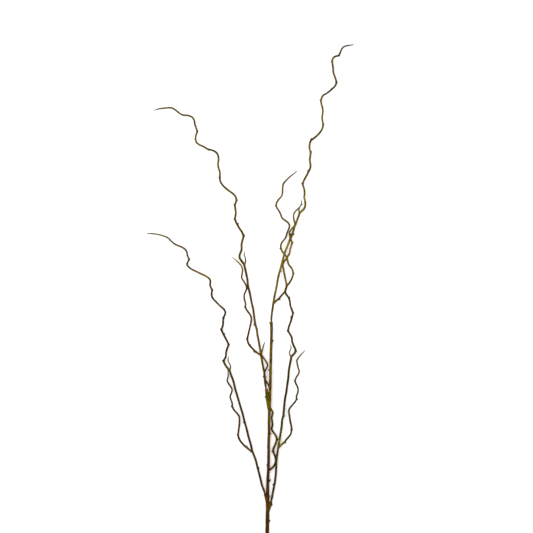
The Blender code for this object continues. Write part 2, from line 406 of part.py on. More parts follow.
def ring_frames(places):
    # each ring is carried on from the last with the least twist
    tangents = []
    for i in range(len(places)):
        ahead = places[min(i + 1, len(places) - 1)]
        behind = places[max(i - 1, 0)]
        tangents.append((ahead - behind).normalized())
    side = tangents[0].cross(Vector((0.0, 0.0, 1.0))).normalized()
    frames = []
    for place, tangent in zip(places, tangents):
        side = (side - tangent * side.dot(tangent)).normalized()
        up = side.cross(tangent)
        turn = Matrix((side, up, -tangent)).transposed().to_4x4()
        frames.append(Matrix.Translation(place) @ turn)
    return frames


def sweep(name, places, radii, sides, round_tip=True):
    # a ring is drawn out from place to place, and both ends are closed
    if round_tip:
        ahead = (places[-1] - places[-2]).normalized()
        places = places + [places[-1] + ahead * TIP_LENGTH]
        radii = radii + [radii[-1] * TIP_SHARE]
    frames = ring_frames(places)
    bm = bmesh.new()
    bmesh.ops.create_circle(bm, segments=sides, radius=1.0, matrix=frames[0] @ Matrix.Scale(radii[0], 4))
    edges = list(bm.edges)
    for i in range(1, len(places)):
        grown = bmesh.ops.extrude_edge_only(bm, edges=edges)["geom"]
        verts = [g for g in grown if isinstance(g, bmesh.types.BMVert)]
        edges = [g for g in grown if isinstance(g, bmesh.types.BMEdge)]
        last = frames[i - 1] @ Matrix.Scale(radii[i - 1], 4)
        here = frames[i] @ Matrix.Scale(radii[i], 4)
        bmesh.ops.transform(bm, matrix=here @ last.inverted(), verts=verts)
    bmesh.ops.holes_fill(bm, edges=list(bm.edges), sides=0)
    return closed_object(name, bm)


def closed_object(name, bm):
    bmesh.ops.triangulate(bm, faces=list(bm.faces))
    bmesh.ops.recalc_face_normals(bm, faces=list(bm.faces))
    mesh = bpy.data.meshes.new(name)
    bm.to_mesh(mesh)
    bm.free()
    made = bpy.data.objects.new(name, mesh)
    bpy.context.scene.collection.objects.link(made)
    return made


def stem_tube(name, route, taper, sides, step, round_tip=True):
    places = spaced_points(route, step)
    reach = 0.0
    radii = [taper_at(taper, 0.0)]
    for a, b in zip(places, places[1:]):
        reach += (b - a).length
        radii.append(taper_at(taper, reach))
    return sweep(name, places, radii, sides, round_tip)


def collar_tube(name, route, taper):
    return stem_tube(name, route, taper, STALK_SIDES, COLLAR_STEP, round_tip=False)


def leader(name, stalk, curl, taper):
    # straight stalk and curly tip are one shoot, with closer rings in the curls
    joined = stalk + curl
    split = Vector(stalk[-1])
    places = spaced_points(joined, CURL_STEP)
    near = min(range(len(places)), key=lambda i: (places[i] - split).length)
    stride = max(1, round(STALK_STEP / CURL_STEP))
    kept = [i for i in range(len(places)) if i < FOOT_RINGS or i >= near or i % stride == 0]
    reaches = [0.0]
    for a, b in zip(places, places[1:]):
        reaches.append(reaches[-1] + (b - a).length)
    radii = [taper_at(taper, reaches[i]) for i in kept]
    return sweep(name, [places[i] for i in kept], radii, STALK_SIDES)


def knob(name, at, size, grown):
    # a leaf scar: a low lump on the side of the nearest stem, drawn out along it
    spot = Vector((at[0], at[1]))
    best = None
    for route, taper in grown:
        places = spaced_points(route, KNOB_SEARCH)
        for i in range(1, len(places) - 1):
            gap = (places[i].to_2d() - spot).length
            if best is None or gap < best[0]:
                radius = taper_at(taper, i * KNOB_SEARCH)
                best = (gap, places[i], (places[i + 1] - places[i - 1]).normalized(), radius)
    centre, along, radius = best[1:]
    out = Vector((spot.x - centre.x, spot.y - centre.y, 0.0))
    out = (out - along * out.dot(along)).normalized()
    across = along.cross(out)
    seat = centre + out * min(max(best[0] - size * KNOB_PROUD, KNOB_LEAST), radius * KNOB_MOST)
    turn = Matrix((out, across, along)).transposed().to_4x4()
    stretch = Matrix.Diagonal((size, size, size * KNOB_STRETCH, 1.0))
    bm = bmesh.new()
    place = Matrix.Translation(seat) @ turn @ stretch
    bmesh.ops.create_icosphere(bm, subdivisions=1, radius=1.0, matrix=place)
    return closed_object(name, bm)


def join_all(base, pieces, operation):
    group = bpy.data.collections.new(base.name + "_" + operation.lower())
    bpy.context.scene.collection.children.link(group)
    for piece in pieces:
        bpy.context.scene.collection.objects.unlink(piece)
        group.objects.link(piece)
    step = base.modifiers.new(operation.title(), "BOOLEAN")
    step.operation = operation
    step.operand_type = "COLLECTION"
    step.collection = group
    step.solver = "EXACT"
    apply_modifiers(base)
    for piece in pieces:
        bpy.data.objects.remove(piece, do_unlink=True)
    bpy.data.collections.remove(group)


def apply_modifiers(item):
    bpy.context.view_layer.update()
    depsgraph = bpy.context.evaluated_depsgraph_get()
    fresh = bpy.data.meshes.new_from_object(item.evaluated_get(depsgraph))
    item.modifiers.clear()
    item.data = fresh


def flatten_foot(item):
    # what dips under the surface is cut off, which leaves a small flat to rest on
    bm = bmesh.new()
    bm.from_mesh(item.data)
    bmesh.ops.remove_doubles(bm, verts=list(bm.verts), dist=WELD)
    bmesh.ops.dissolve_degenerate(bm, edges=list(bm.edges), dist=WELD)
    cut = bmesh.ops.bisect_plane(bm, geom=list(bm.verts) + list(bm.edges) + list(bm.faces), dist=1e-6,
                                 plane_co=(0.0, 0.0, 0.0), plane_no=(0.0, 0.0, 1.0), clear_inner=True)
    rim = [g for g in cut["geom_cut"] if isinstance(g, bmesh.types.BMEdge)]
    if rim:
        bmesh.ops.holes_fill(bm, edges=rim, sides=0)
    bmesh.ops.triangulate(bm, faces=list(bm.faces))
    bmesh.ops.delete(bm, geom=[e for e in bm.edges if not e.link_faces], context="EDGES")
    bmesh.ops.recalc_face_normals(bm, faces=list(bm.faces))
    bm.to_mesh(item.data)
    bm.free()


def finish_node(item, material):
    flatten_foot(item)
    item.data.transform(Matrix.Translation((-FOOTPRINT_CENTRE[0], -FOOTPRINT_CENTRE[1], 0.0)))
    item.data.materials.clear()
    item.data.materials.append(material)
    item.data.shade_smooth()


def socket_cutter(name, stalk):
    # the foot of a side stem, a little larger all round, and out past the rim
    foot = Vector(stalk[0])
    rim = Vector(stalk[1])
    along = (rim - foot).normalized()
    places = [foot - along * SEAT_GAP, foot + (rim - foot) * 0.5, rim, rim + along * CUTTER_OVERSHOOT]
    return sweep(name, places, [SHANK_RADIUS + SEAT_GAP] * len(places), STALK_SIDES, round_tip=False)


def side_stem(name, stalk, curl, taper, twig, spur, knobs, material):
    shoot = leader(name, stalk, curl, taper)
    twig_taper = twig_thinning(twig, TWIG_ROOT_RADIUS, TWIG_TIP_RADIUS)
    spur_taper = twig_thinning(spur, SPUR_ROOT_RADIUS, SPUR_TIP_RADIUS)
    pieces = [
        stem_tube(name + "_twig", twig, twig_taper, TWIG_SIDES, TWIG_STEP),
        stem_tube(name + "_spur", spur, spur_taper, TWIG_SIDES, SPUR_STEP),
    ]
    grown = [(stalk + curl, taper), (twig, twig_taper)]
    for number, (x, y, size) in enumerate(knobs):
        pieces.append(knob(f"{name}_knob_{number}", (x, y), size, grown))
    join_all(shoot, pieces, "UNION")
    finish_node(shoot, material)


def main_stem(material):
    stalk = stem_tube("main_stem", MAIN_STALK, MAIN_TAPER, STALK_SIDES, STALK_STEP, round_tip=False)
    twig_taper = twig_thinning(MAIN_TWIG, TWIG_ROOT_RADIUS, TWIG_TIP_RADIUS)
    nub_taper = twig_thinning(MAIN_NUB, *NUB_RADII)
    pieces = [
        stem_tube("main_twig", MAIN_TWIG, twig_taper, TWIG_SIDES, TWIG_STEP),
        stem_tube("main_nub", MAIN_NUB, nub_taper, TWIG_SIDES, SPUR_STEP),
        collar_tube("left_collar", LEFT_COLLAR, LEFT_COLLAR_TAPER),
        collar_tube("right_collar", RIGHT_COLLAR, RIGHT_COLLAR_TAPER),
        collar_tube("upper_collar", UPPER_COLLAR, UPPER_COLLAR_TAPER),
    ]
    grown = [(MAIN_STALK, MAIN_TAPER), (MAIN_TWIG, twig_taper), (LEFT_COLLAR, LEFT_COLLAR_TAPER),
             (RIGHT_COLLAR, RIGHT_COLLAR_TAPER), (UPPER_COLLAR, UPPER_COLLAR_TAPER)]
    for number, (x, y, size) in enumerate(MAIN_KNOBS):
        pieces.append(knob(f"main_knob_{number}", (x, y), size, grown))
    join_all(stalk, pieces, "UNION")
    cutters = [
        socket_cutter("left_socket", LEFT_STALK),
        socket_cutter("right_socket", RIGHT_STALK),
        socket_cutter("upper_socket", UPPER_STALK),
        socket_cutter("top_socket", TOP_STALK),
    ]
    join_all(stalk, cutters, "DIFFERENCE")
    finish_node(stalk, material)


clear_scene()
brown_bark = make_material("brown_bark", BARK_BROWN)
olive_bark = make_material("olive_bark", BARK_OLIVE)
main_stem(brown_bark)
side_stem("left_stem", LEFT_STALK, LEFT_CURL, LEFT_TAPER, LEFT_TWIG, LEFT_SPUR, LEFT_KNOBS, olive_bark)
side_stem("right_stem", RIGHT_STALK, RIGHT_CURL, RIGHT_TAPER, RIGHT_TWIG, RIGHT_SPUR, RIGHT_KNOBS,
          olive_bark)
side_stem("upper_left_stem", UPPER_STALK, UPPER_CURL, UPPER_TAPER, UPPER_TWIG, UPPER_SPUR, UPPER_KNOBS,
          olive_bark)
side_stem("top_stem", TOP_STALK, TOP_CURL, TOP_TAPER, TOP_TWIG, TOP_SPUR, TOP_KNOBS, olive_bark)
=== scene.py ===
import math

import bmesh
import bpy
from mathutils import Matrix, Vector, noise


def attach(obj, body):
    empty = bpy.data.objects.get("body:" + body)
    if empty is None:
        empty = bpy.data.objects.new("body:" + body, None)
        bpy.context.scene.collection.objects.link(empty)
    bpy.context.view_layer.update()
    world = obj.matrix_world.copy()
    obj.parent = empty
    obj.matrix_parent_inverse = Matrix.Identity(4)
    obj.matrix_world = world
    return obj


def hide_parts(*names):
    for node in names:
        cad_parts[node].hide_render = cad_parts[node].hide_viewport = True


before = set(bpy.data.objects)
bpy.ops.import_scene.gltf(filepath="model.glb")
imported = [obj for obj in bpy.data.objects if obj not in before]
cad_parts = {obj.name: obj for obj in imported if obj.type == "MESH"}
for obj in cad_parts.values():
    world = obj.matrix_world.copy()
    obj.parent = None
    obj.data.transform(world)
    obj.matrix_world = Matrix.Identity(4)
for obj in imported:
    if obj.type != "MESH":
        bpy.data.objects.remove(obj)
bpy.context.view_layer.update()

footprint = (-0.043074, 0.651348)  # routes are measured from the cut end, the part from its footprint
millimetres = 1000  # in a metre; bark patterns are drawn in millimetres

# Bark colours, as a paint chart would give them
chart = {
    "darkBrown": (36, 20, 2),
    "brown": (62, 39, 3),
    "redBrown": (84, 47, 7),
    "tan": (105, 72, 16),
    "olive": (72, 58, 4),
    "yellowOlive": (96, 83, 7),
    "straw": (125, 103, 12),
    "yellowGreen": (126, 120, 4),
    "orangeTan": (160, 86, 16),
    "paleTan": (158, 124, 50),
    "paleStraw": (148, 129, 28),
    "greyTip": (104, 90, 36),
    "greyBrown": (70, 51, 20),
}

growth = {
    "ringStep": 0.0012,  # ring spacing along every stem
    "routeCuts": 16,  # steps between two points of a route, before the rings are spaced
    "mainSides": 22,
    "collarSides": 20,
    "stalkSides": 18,
    "twigSides": 12,
    "forkReach": 0.005,  # where a shoot comes out of its parent's bark
    "forkBlend": 0.005,  # how far its colour spreads there
    "patternShift": 0.05,  # times a stem's seed, so that no two stems share a pattern
    "barkThickness": 0.0005,  # at the sawn foot
    "barkProud": 0.0002,
}

unevenness = {
    "swell": 0.07,  # slow swelling and thinning of a stem
    "swellRate": 55,
    "swellSeed": 7.1,
    "bumps": ((0.05, 1.6, 330), (0.035, 4.5, 70)),  # lumps, ridges: height, rate round and rate along
}

scar = {
    "every": 0.034,  # a leaf scar about this often
    "everyWander": 0.35,
    "size": 0.0007,
    "sizeWander": 0.4,
    "turnWander": 0.7,
    "wanderRate": 40,
    "wanderSeed": 3.3,
    "bold": 0.85,
    "knobBold": 1.5,  # the knobs that show in the outline stand out more
    "height": 0.62,
    "above": 1.1,  # the swelling falls off faster above a scar
    "below": 1.7,
    "round": 0.8,
    "window": 5,  # no swelling further off than this many sizes
    # none nearer to a stem's foot and end than this
    "ends": {"main": (0.035, 0.03), "mainTwig": (0.012, 0.01), "stalk": (0.030, 0.01),
             "twig": (0.016, 0.01), "spur": (0.010, 0.006)},
}

bud = {
    "sink": 0.0004,  # how deep its foot sits in the bark
    "lean": 0.5,
    "sides": 8,
    "rings": 6,
    "width": 0.62,
    "height": 1.7,
    "point": 0.55,  # how much narrower its top is
    "top": 1.05,
    "dark": 0.45,  # share of dark brown in its colour
}

tip = {
    "stretch": 0.014,  # the last stretch of a stem, which thins
    "most": 0.3,  # of a short stem's length
    "share": 0.5,  # how thin it gets
    "swell": 0.16,  # the end bud
    "swellAt": 0.14,
    "swellWidth": 0.09,
    "end": ((0.0006, 0.42), (0.0012, 0.27), (0.0017, 0.08)),  # how far past the end, share of the radius
}

socket = {
    "hole": 0.0024,
    "shade": 0.5,  # painted shade: how much darker the hole's mouth ring and hollow are painted
    # rings of a rounded lip and the hole: which radius, share of it, how far out, colour; the hole's two
    # darkened colours are painted shade
    "rings": (("outer", 0.97, 0.0004, "rim"), ("middle", 1.08, 0.0007, "rim"),
              ("middle", 0.92, 0.0007, "rim"), ("hole", 1.03, 0.0002, "shadedEdge"),
              ("hole", 1.0, -0.001, "shadedInside"), ("hole", 1.0, -0.006, "shadedInside")),
}

shootTaper = {
    "flare": 1.12,  # thicker where it leaves its parent
    "flareEnd": 0.006,
    "late": 0.85,  # thickness this far along, as a share of its start
    "slack": 1.02,  # a smooth route is a little longer than straight lines between its points
}


def paint(name):
    # a chart colour as Blender's linear light
    return Vector([((c / 255 + 0.055) / 1.055) ** 2.4 for c in chart[name]])


def smoothRoute(route, step):
    # even spacing along a smooth curve through every point
    points = [Vector(p) for p in route]
    points = [2 * points[0] - points[1]] + points + [2 * points[-1] - points[-2]]
    cuts = growth["routeCuts"]
    dense = []
    for i in range(1, len(points) - 2):
        before, start, end, after = points[i - 1:i + 3]
        for j in range(cuts):
            t = j / cuts
            dense.append(0.5 * (2 * start + (end - before) * t
                                + (2 * before - 5 * start + 4 * end - after) * t * t
                                + (3 * start - before - 3 * end + after) * t * t * t))
    dense.append(points[-2])
    reach = [0.0]
    for a, b in zip(dense, dense[1:]):
        reach.append(reach[-1] + (b - a).length)
    count = max(2, round(reach[-1] / step))
    places, spots, j = [], [], 0
    for i in range(count + 1):
        target = reach[-1] * i / count
        while j < len(reach) - 2 and reach[j + 1] < target:
            j += 1
        share = (target - reach[j]) / max(reach[j + 1] - reach[j], 1e-9)
        places.append(dense[j].lerp(dense[j + 1], share))
        spots.append(target)
    return places, spots


def along(stops, reach):
    # a value between two stops, where stops are (distance, value)
    for (a, va), (b, vb) in zip(stops, stops[1:]):
        if reach <= b:
            share = max(reach - a, 0.0) / (b - a)
            share = share * share * (3 - 2 * share)
            return va + (vb - va) * share
    return stops[-1][1]


def framesAlong(places):
    # each ring's frame is carried on from the last with the least twist
    side = None
    frames = []
    for i, place in enumerate(places):
        tangent = (places[min(i + 1, len(places) - 1)] - places[max(i - 1, 0)]).normalized()
        if side is None:
            side = tangent.cross(Vector((0, 0, 1))).normalized()
        side = (side - tangent * side.dot(tangent)).normalized()
        turn = Matrix((side, side.cross(tangent), -tangent)).transposed().to_4x4()
        frames.append(Matrix.Translation(place) @ turn)
    return frames


def layStem(route, taper, colours, sides, seed):
    # everything that the rings, scars and buds of one stem need to know
    places, spots = smoothRoute(route, growth["ringStep"])
    return {
        "places": places, "spots": spots, "length": spots[-1], "frames": framesAlong(places),
        "radii": [along(taper, s) for s in spots], "sides": sides, "seed": seed, "sawn": False,
        "colours": [(spot, paint(name)) for spot, name in colours],
        "scars": [], "forks": [], "ending": [],
    }


def layShoot(parts, kind, seed):
    # a twig, spur or nub; its taper is worked out from its first and last radius
    route = parts[kind]
    first, last = parts[kind + "Radii"]
    length = sum((Vector(b) - Vector(a)).length for a, b in zip(route, route[1:])) * shootTaper["slack"]
    late = shootTaper["late"]
    taper = [(0.0, first * shootTaper["flare"]), (shootTaper["flareEnd"], first),
             (length * late, first * late), (length, last)]
    return layStem(route, taper, parts[kind + "Colours"], growth["twigSides"], seed)


def ringAt(stem, reach):
    return min(range(len(stem["spots"])), key=lambda k: abs(stem["spots"][k] - reach))


def addScars(stem, kind):
    # leaf scars on alternate sides, a little uneven in their spacing
    reach, last = scar["ends"][kind]
    number = 0
    while reach < stem["length"] - last:
        wander = noise.noise(Vector((reach * scar["wanderRate"], stem["seed"], scar["wanderSeed"])))
        angle = math.pi * number + scar["turnWander"] * wander + stem["seed"]
        size = scar["size"] * (1 + scar["sizeWander"] * wander)
        stem["scars"].append((ringAt(stem, reach), angle, size, scar["bold"]))
        reach += scar["every"] * (1 + scar["everyWander"] * wander)
        number += 1


def addKnobs(stems, knobs):
    # each larger knob, given as x, y and size, goes to the nearest stem
    for x, y, size in knobs:
        spot = Vector((x, y))
        best = None
        for stem in stems:
            for i, place in enumerate(stem["places"]):
                gap = (place.to_2d() - spot).length
                if best is None or gap < best[0]:
                    best = (gap, stem, i)
        stem, i = best[1:]
        local = stem["frames"][i].inverted() @ Vector((x, y, stem["places"][i].z))
        stem["scars"].append((i, math.atan2(local.y, local.x), size, scar["knobBold"]))


def meetColours(parent, shoot):
    # round a fork the bark of both takes the shoot's first colour
    at = ringAt(shoot, growth["forkReach"])
    parent["forks"].append((shoot["places"][at], shoot["colours"][0][1]))


def scarPush(stem, i, angle):
    # the bark swells under each scar, more gently below it than above
    push = 0.0
    for at, towards, size, bold in stem["scars"]:
        if abs(i - at) > size * scar["window"] / growth["ringStep"]:
            continue
        spread = size * (scar["above"] if i > at else scar["below"])
        away = (stem["spots"][i] - stem["spots"][at]) / spread
        turn = math.remainder(angle - towards, 2 * math.pi) * stem["radii"][i] / size
        push += size * scar["height"] * bold * math.exp(-away * away - turn * turn * scar["round"])
    return push


def ringRadius(stem, i, angle):
    reach, seed = stem["spots"][i], stem["seed"]
    slow = noise.noise(Vector((reach * unevenness["swellRate"], seed * unevenness["swellSeed"], 0.0)))
    swell = 1 + unevenness["swell"] * slow
    for height, turns, rate in unevenness["bumps"]:
        spot = Vector((math.cos(angle) * turns, math.sin(angle) * turns + seed, reach * rate))
        swell += height * noise.noise(spot)
    return stem["radii"][i] * swell + scarPush(stem, i, angle)


def closeTip(stem):
    # the last stretch thins, then swells a little into a pointed end bud
    full = stem["radii"][-1]
    stretch = min(tip["stretch"], stem["length"] * tip["most"])
    for i, spot in enumerate(stem["spots"]):
        left = (stem["length"] - spot) / stretch
        if left < 1:
            swell = tip["swell"] * math.exp(-((left - tip["swellAt"]) / tip["swellWidth"]) ** 2)
            stem["radii"][i] *= tip["share"] + (1 - tip["share"]) * left * (2 - left) + swell
    colour = stem["colours"][-1][1]
    for ahead, share in tip["end"]:
        stem["ending"].append((ahead, full * share, colour))


def openSocket(stem, rimColour):
    # a rounded lip, then a hole that the next stem's foot stands in
    outer, hole = stem["radii"][-1], socket["hole"]
    radii = {"outer": outer, "middle": (outer + hole) / 2, "hole": hole}
    rim = paint(rimColour)
    # painted shade: the ring at the hole's mouth and the hollow below it are darkened
    colours = {"rim": rim, "shadedEdge": rim * socket["shade"], "shadedInside": paint("darkBrown") * socket["shade"]}
    for radius, share, ahead, colour in socket["rings"]:
        stem["ending"].append((ahead, radii[radius] * share, colours[colour]))


def newMesh():
    # each corner knows its place on the bark and its colour
    bm = bmesh.new()
    layers = bm.verts.layers
    return bm, layers.float_vector.new("barkPlace"), layers.float_color.new("barkColour")


def growStem(bm, stem):
    # a cylinder is cut into rings, then each ring goes to its place and takes its own shape
    count = len(stem["frames"]) + len(stem["ending"])
    tube, place, colour = newMesh()
    lift = Matrix.Translation((0, 0, (count - 1) / 2))
    bmesh.ops.create_cone(tube, cap_ends=True, segments=stem["sides"], radius1=1, radius2=1,
                          depth=count - 1, matrix=lift)
    # rings stand one apart until they are placed
    uprights = [e for e in tube.edges if abs(e.verts[0].co.z - e.verts[1].co.z) > 0.5]
    bmesh.ops.subdivide_edges(tube, edges=uprights, cuts=count - 2, use_grid_fill=True)
    foot = [f for f in tube.faces if stem["sawn"] and all(v.co.z < 0.5 for v in f.verts)]
    last = len(stem["frames"]) - 1
    for v in tube.verts:
        i = round(v.co.z)
        angle = math.atan2(v.co.y, v.co.x)
        if i <= last:
            radius, ahead = ringRadius(stem, i, angle), 0.0
            shade = along(stem["colours"], stem["spots"][i])
        else:
            ahead, radius, shade = stem["ending"][i - last - 1]
            i = last
        local = Vector((math.cos(angle) * radius, math.sin(angle) * radius, -ahead))
        v.co = stem["frames"][i] @ local
        for middle, tint in stem["forks"]:
            shade = shade.lerp(tint, math.exp(-((v.co - middle).length / growth["forkBlend"]) ** 2))
        reach = stem["spots"][i] + ahead + stem["seed"] * growth["patternShift"]
        v[place] = (local.x * millimetres, local.y * millimetres, reach * millimetres)
        v[colour] = (*shade, 1)
    if foot:
        sawFoot(tube, foot)
    addTo(bm, tube)


def sawFoot(tube, foot):
    # bark stands a little proud round the sawn wood
    for f in foot:
        f.material_index = 1
    rim = bmesh.ops.inset_region(tube, faces=foot, thickness=growth["barkThickness"],
                                 depth=-growth["barkProud"])["faces"]
    for f in rim:
        f.material_index = 0


def addTo(bm, extra):
    # moves one small mesh into the piece's mesh, with its attributes
    carrier = bpy.data.meshes.new("carrier")
    extra.to_mesh(carrier)
    extra.free()
    bm.from_mesh(carrier)
    bpy.data.meshes.remove(carrier)


def growBuds(bm, stem):
    # a small pointed bud on every scar, leaning forward along its stem
    buds, place, colour = newMesh()
    forward = Vector((0, 0, -1))
    up = forward.rotation_difference(Vector((0, 0, 1))).to_matrix().to_4x4()
    for i, angle, size, _ in stem["scars"]:
        out = Vector((math.cos(angle), math.sin(angle), 0))
        lean = Matrix.Rotation(bud["lean"], 4, out.cross(forward))
        seat = Matrix.Translation(out * (ringRadius(stem, i, angle) - bud["sink"]))
        corners = bmesh.ops.create_uvsphere(buds, u_segments=bud["sides"], v_segments=bud["rings"],
                                            radius=size * bud["width"])["verts"]
        for v in corners:
            v.co.z *= bud["height"]
            if v.co.z > 0:  # drawn to a point
                narrow = 1 - bud["point"] * v.co.z / (size * bud["top"])
                v.co.x *= narrow
                v.co.y *= narrow
        bmesh.ops.transform(buds, matrix=stem["frames"][i] @ seat @ lean.inverted() @ up, verts=corners)
        shade = along(stem["colours"], stem["spots"][i]) * (1 - bud["dark"])
        shade += paint("darkBrown") * bud["dark"]
        for v in corners:
            local = stem["frames"][i].inverted() @ v.co
            reach = stem["spots"][i] - local.z
            v[place] = (local.x * millimetres, local.y * millimetres, reach * millimetres)
            v[colour] = (*shade, 1)
    addTo(bm, buds)


def addObject(name, data):
    added = bpy.data.objects.new(name, data)
    bpy.context.scene.collection.objects.link(added)
    return added


def finishPiece(name, bm, materials, node):
    bmesh.ops.translate(bm, vec=(-footprint[0], -footprint[1], 0), verts=list(bm.verts))
    for v in bm.verts:  # nothing reaches below the surface that the spray lies on
        v.co.z = max(v.co.z, 0.0)
    bmesh.ops.recalc_face_normals(bm, faces=list(bm.faces))
    for f in bm.faces:
        f.smooth = f.material_index == 0
    mesh = bpy.data.meshes.new(name)
    bm.to_mesh(mesh)
    bm.free()
    for material in materials:
        mesh.materials.append(material)
    piece = addObject(name, mesh)
    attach(piece, "root")
    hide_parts(node)
    print(name, "has", len(mesh.polygons), "faces")


def newMaterial(name):
    material = bpy.data.materials.new(name)
    material.use_nodes = True
    return material, material.node_tree.nodes["Principled BSDF"]


def plug(material, node, inputs):
    # each input takes another node's socket, a number or a colour
    for key, value in inputs.items():
        if isinstance(value, bpy.types.NodeSocket):
            material.node_tree.links.new(value, node.inputs[key])
        else:
            node.inputs[key].default_value = value


def addNode(material, kind, inputs, **settings):
    node = material.node_tree.nodes.new(kind)
    for key, value in settings.items():
        setattr(node, key, value)
    plug(material, node, inputs)
    return node


def readMap(material, name, output):
    return addNode(material, "ShaderNodeAttribute", {}, attribute_name=name).outputs[output]


def ramp(material, value, low, high, lowColour=(0, 0, 0, 1), highColour=(1, 1, 1, 1)):
    node = addNode(material, "ShaderNodeValToRGB", {"Fac": value})
    for stop, position, colour in zip(node.color_ramp.elements, (low, high), (lowColour, highColour)):
        stop.position = position
        stop.color = colour
    return node.outputs["Color"]


def mix(material, blend, factor, a, b):
    # inputs 6 and 7 of a Mix node are its two colours
    node = addNode(material, "ShaderNodeMix", {0: factor, 6: a, 7: b}, data_type="RGBA", blend_type=blend)
    return node.outputs[2]


def barkNoise(material, at, stretch, scale, detail, rough):
    # noise drawn out along the stem; at is in millimetres round and along the bark
    squeeze = addNode(material, "ShaderNodeMapping", {"Vector": at, "Scale": (1, 1, stretch)})
    grain = addNode(material, "ShaderNodeTexNoise", {"Vector": squeeze.outputs["Vector"], "Scale": scale,
                                                     "Detail": detail, "Roughness": rough})
    return grain.outputs["Fac"]


def addBump(material, height, strength, distance, under=None):
    inputs = {"Strength": strength, "Distance": distance, "Height": height}
    if under is not None:
        inputs["Normal"] = under
    return addNode(material, "ShaderNodeBump", inputs).outputs["Normal"]


# The two barks differ in these
barkLook = {
    "brownBark": {"patch": "brown", "patchScale": 0.30, "grainScale": 1.5, "poreScale": 0.65, "pores": 0.35,
                  "mottle": 0.75, "rough": (0.6, 0.85), "specular": 0.02, "bump": 1.0},
    "oliveBark": {"patch": "olive", "patchScale": 0.26, "grainScale": 1.9, "poreScale": 0.60, "pores": 0.30,
                  "mottle": 0.60, "rough": (0.5, 0.8), "specular": 0.02, "bump": 0.8},
}

# Both barks share these; a map's scale is a share of its look's patchScale or grainScale
barkMaps = {
    "patches": {"scale": "patchScale", "share": 1.0, "stretch": 0.30, "detail": 4, "rough": 0.55,
                "ends": (0.40, 0.66)},
    "shadows": {"scale": "patchScale", "share": 1.9, "stretch": 0.45, "detail": 5, "rough": 0.55,
                "ends": (0.38, 0.60)},
    "grain": {"scale": "grainScale", "share": 1.0, "stretch": 0.12, "detail": 6, "rough": 0.65,
              "ends": (0.35, 0.68)},
    "cracks": {"scale": "grainScale", "share": 0.55, "stretch": 0.06, "detail": 3, "rough": 0.55,
               "ends": (0.44, 0.56)},
}
barkTints = {
    "shadows": ((0.35, 0.30, 0.24, 1), (1.25, 1.2, 1.1, 1)),
    "grain": ((0.45, 0.42, 0.36, 1), (1.3, 1.27, 1.2, 1)),
    "grainShare": 0.45,
    "poreStretch": (0.55, 0.55, 0.75),
    "poreEnds": (0.10, 0.20),
    "poreBump": 0.5,
    "wear": {"stretch": 0.3, "scale": 1.1, "detail": 4, "rough": 0.55},
    "wearEnds": (0.25, 0.75),
    "fineBump": 0.7,  # share of a look's bump
    "depths": {"cracks": 0.0009, "grain": 0.0004, "pores": 0.0002},
}


def makeBark(name, look):
    material, shader = newMaterial(name)
    at = readMap(material, "barkPlace", "Vector")
    maps = {}
    for kind, shape in barkMaps.items():
        scale = look[shape["scale"]] * shape["share"]
        grain = barkNoise(material, at, shape["stretch"], scale, shape["detail"], shape["rough"])
        maps[kind] = ramp(material, grain, *shape["ends"])
    colour = mix(material, "MIX", maps["patches"], readMap(material, "barkColour", "Color"),
                 (*paint(look["patch"]), 1))
    for kind, share in (("shadows", look["mottle"]), ("grain", barkTints["grainShare"])):
        tint = mix(material, "MIX", maps[kind], *barkTints[kind])
        colour = mix(material, "MULTIPLY", share, colour, tint)
    poreMap = addNode(material, "ShaderNodeMapping", {"Vector": at, "Scale": barkTints["poreStretch"]})
    pores = addNode(material, "ShaderNodeTexVoronoi", {"Vector": poreMap.outputs["Vector"],
                                                       "Scale": look["poreScale"]})
    dots = ramp(material, pores.outputs["Distance"], *barkTints["poreEnds"], (1, 1, 1, 1), (0, 0, 0, 1))
    faint = addNode(material, "ShaderNodeMath", {0: dots, 1: look["pores"]}, operation="MULTIPLY")
    colour = mix(material, "MIX", faint.outputs[0], colour, (*paint("paleTan"), 1))
    worn, dull = ((rough, rough, rough, 1) for rough in look["rough"])
    wear = barkNoise(material, at, **barkTints["wear"])
    gloss = ramp(material, wear, *barkTints["wearEnds"], worn, dull)
    depths = barkTints["depths"]
    deep = addBump(material, maps["cracks"], look["bump"], depths["cracks"])
    fine = addBump(material, maps["grain"], look["bump"] * barkTints["fineBump"], depths["grain"], deep)
    raised = addBump(material, dots, barkTints["poreBump"], depths["pores"], fine)
    plug(material, shader, {"Base Color": colour, "Roughness": gloss, "Normal": raised,
                            "Specular IOR Level": look["specular"]})
    return material


cutLook = {
    "ringScale": 1.6,
    "ringWaver": 1.2,
    "ringDetail": 3,
    "pith": (0.4, 0.62),  # where the pith ends, in millimetres from the middle
    "span": 4,  # millimetres that the pith's ramp covers
    "rough": 0.8,
    "grainScale": 3.0,
    "bump": 0.4,
    "depth": 0.0002,
}


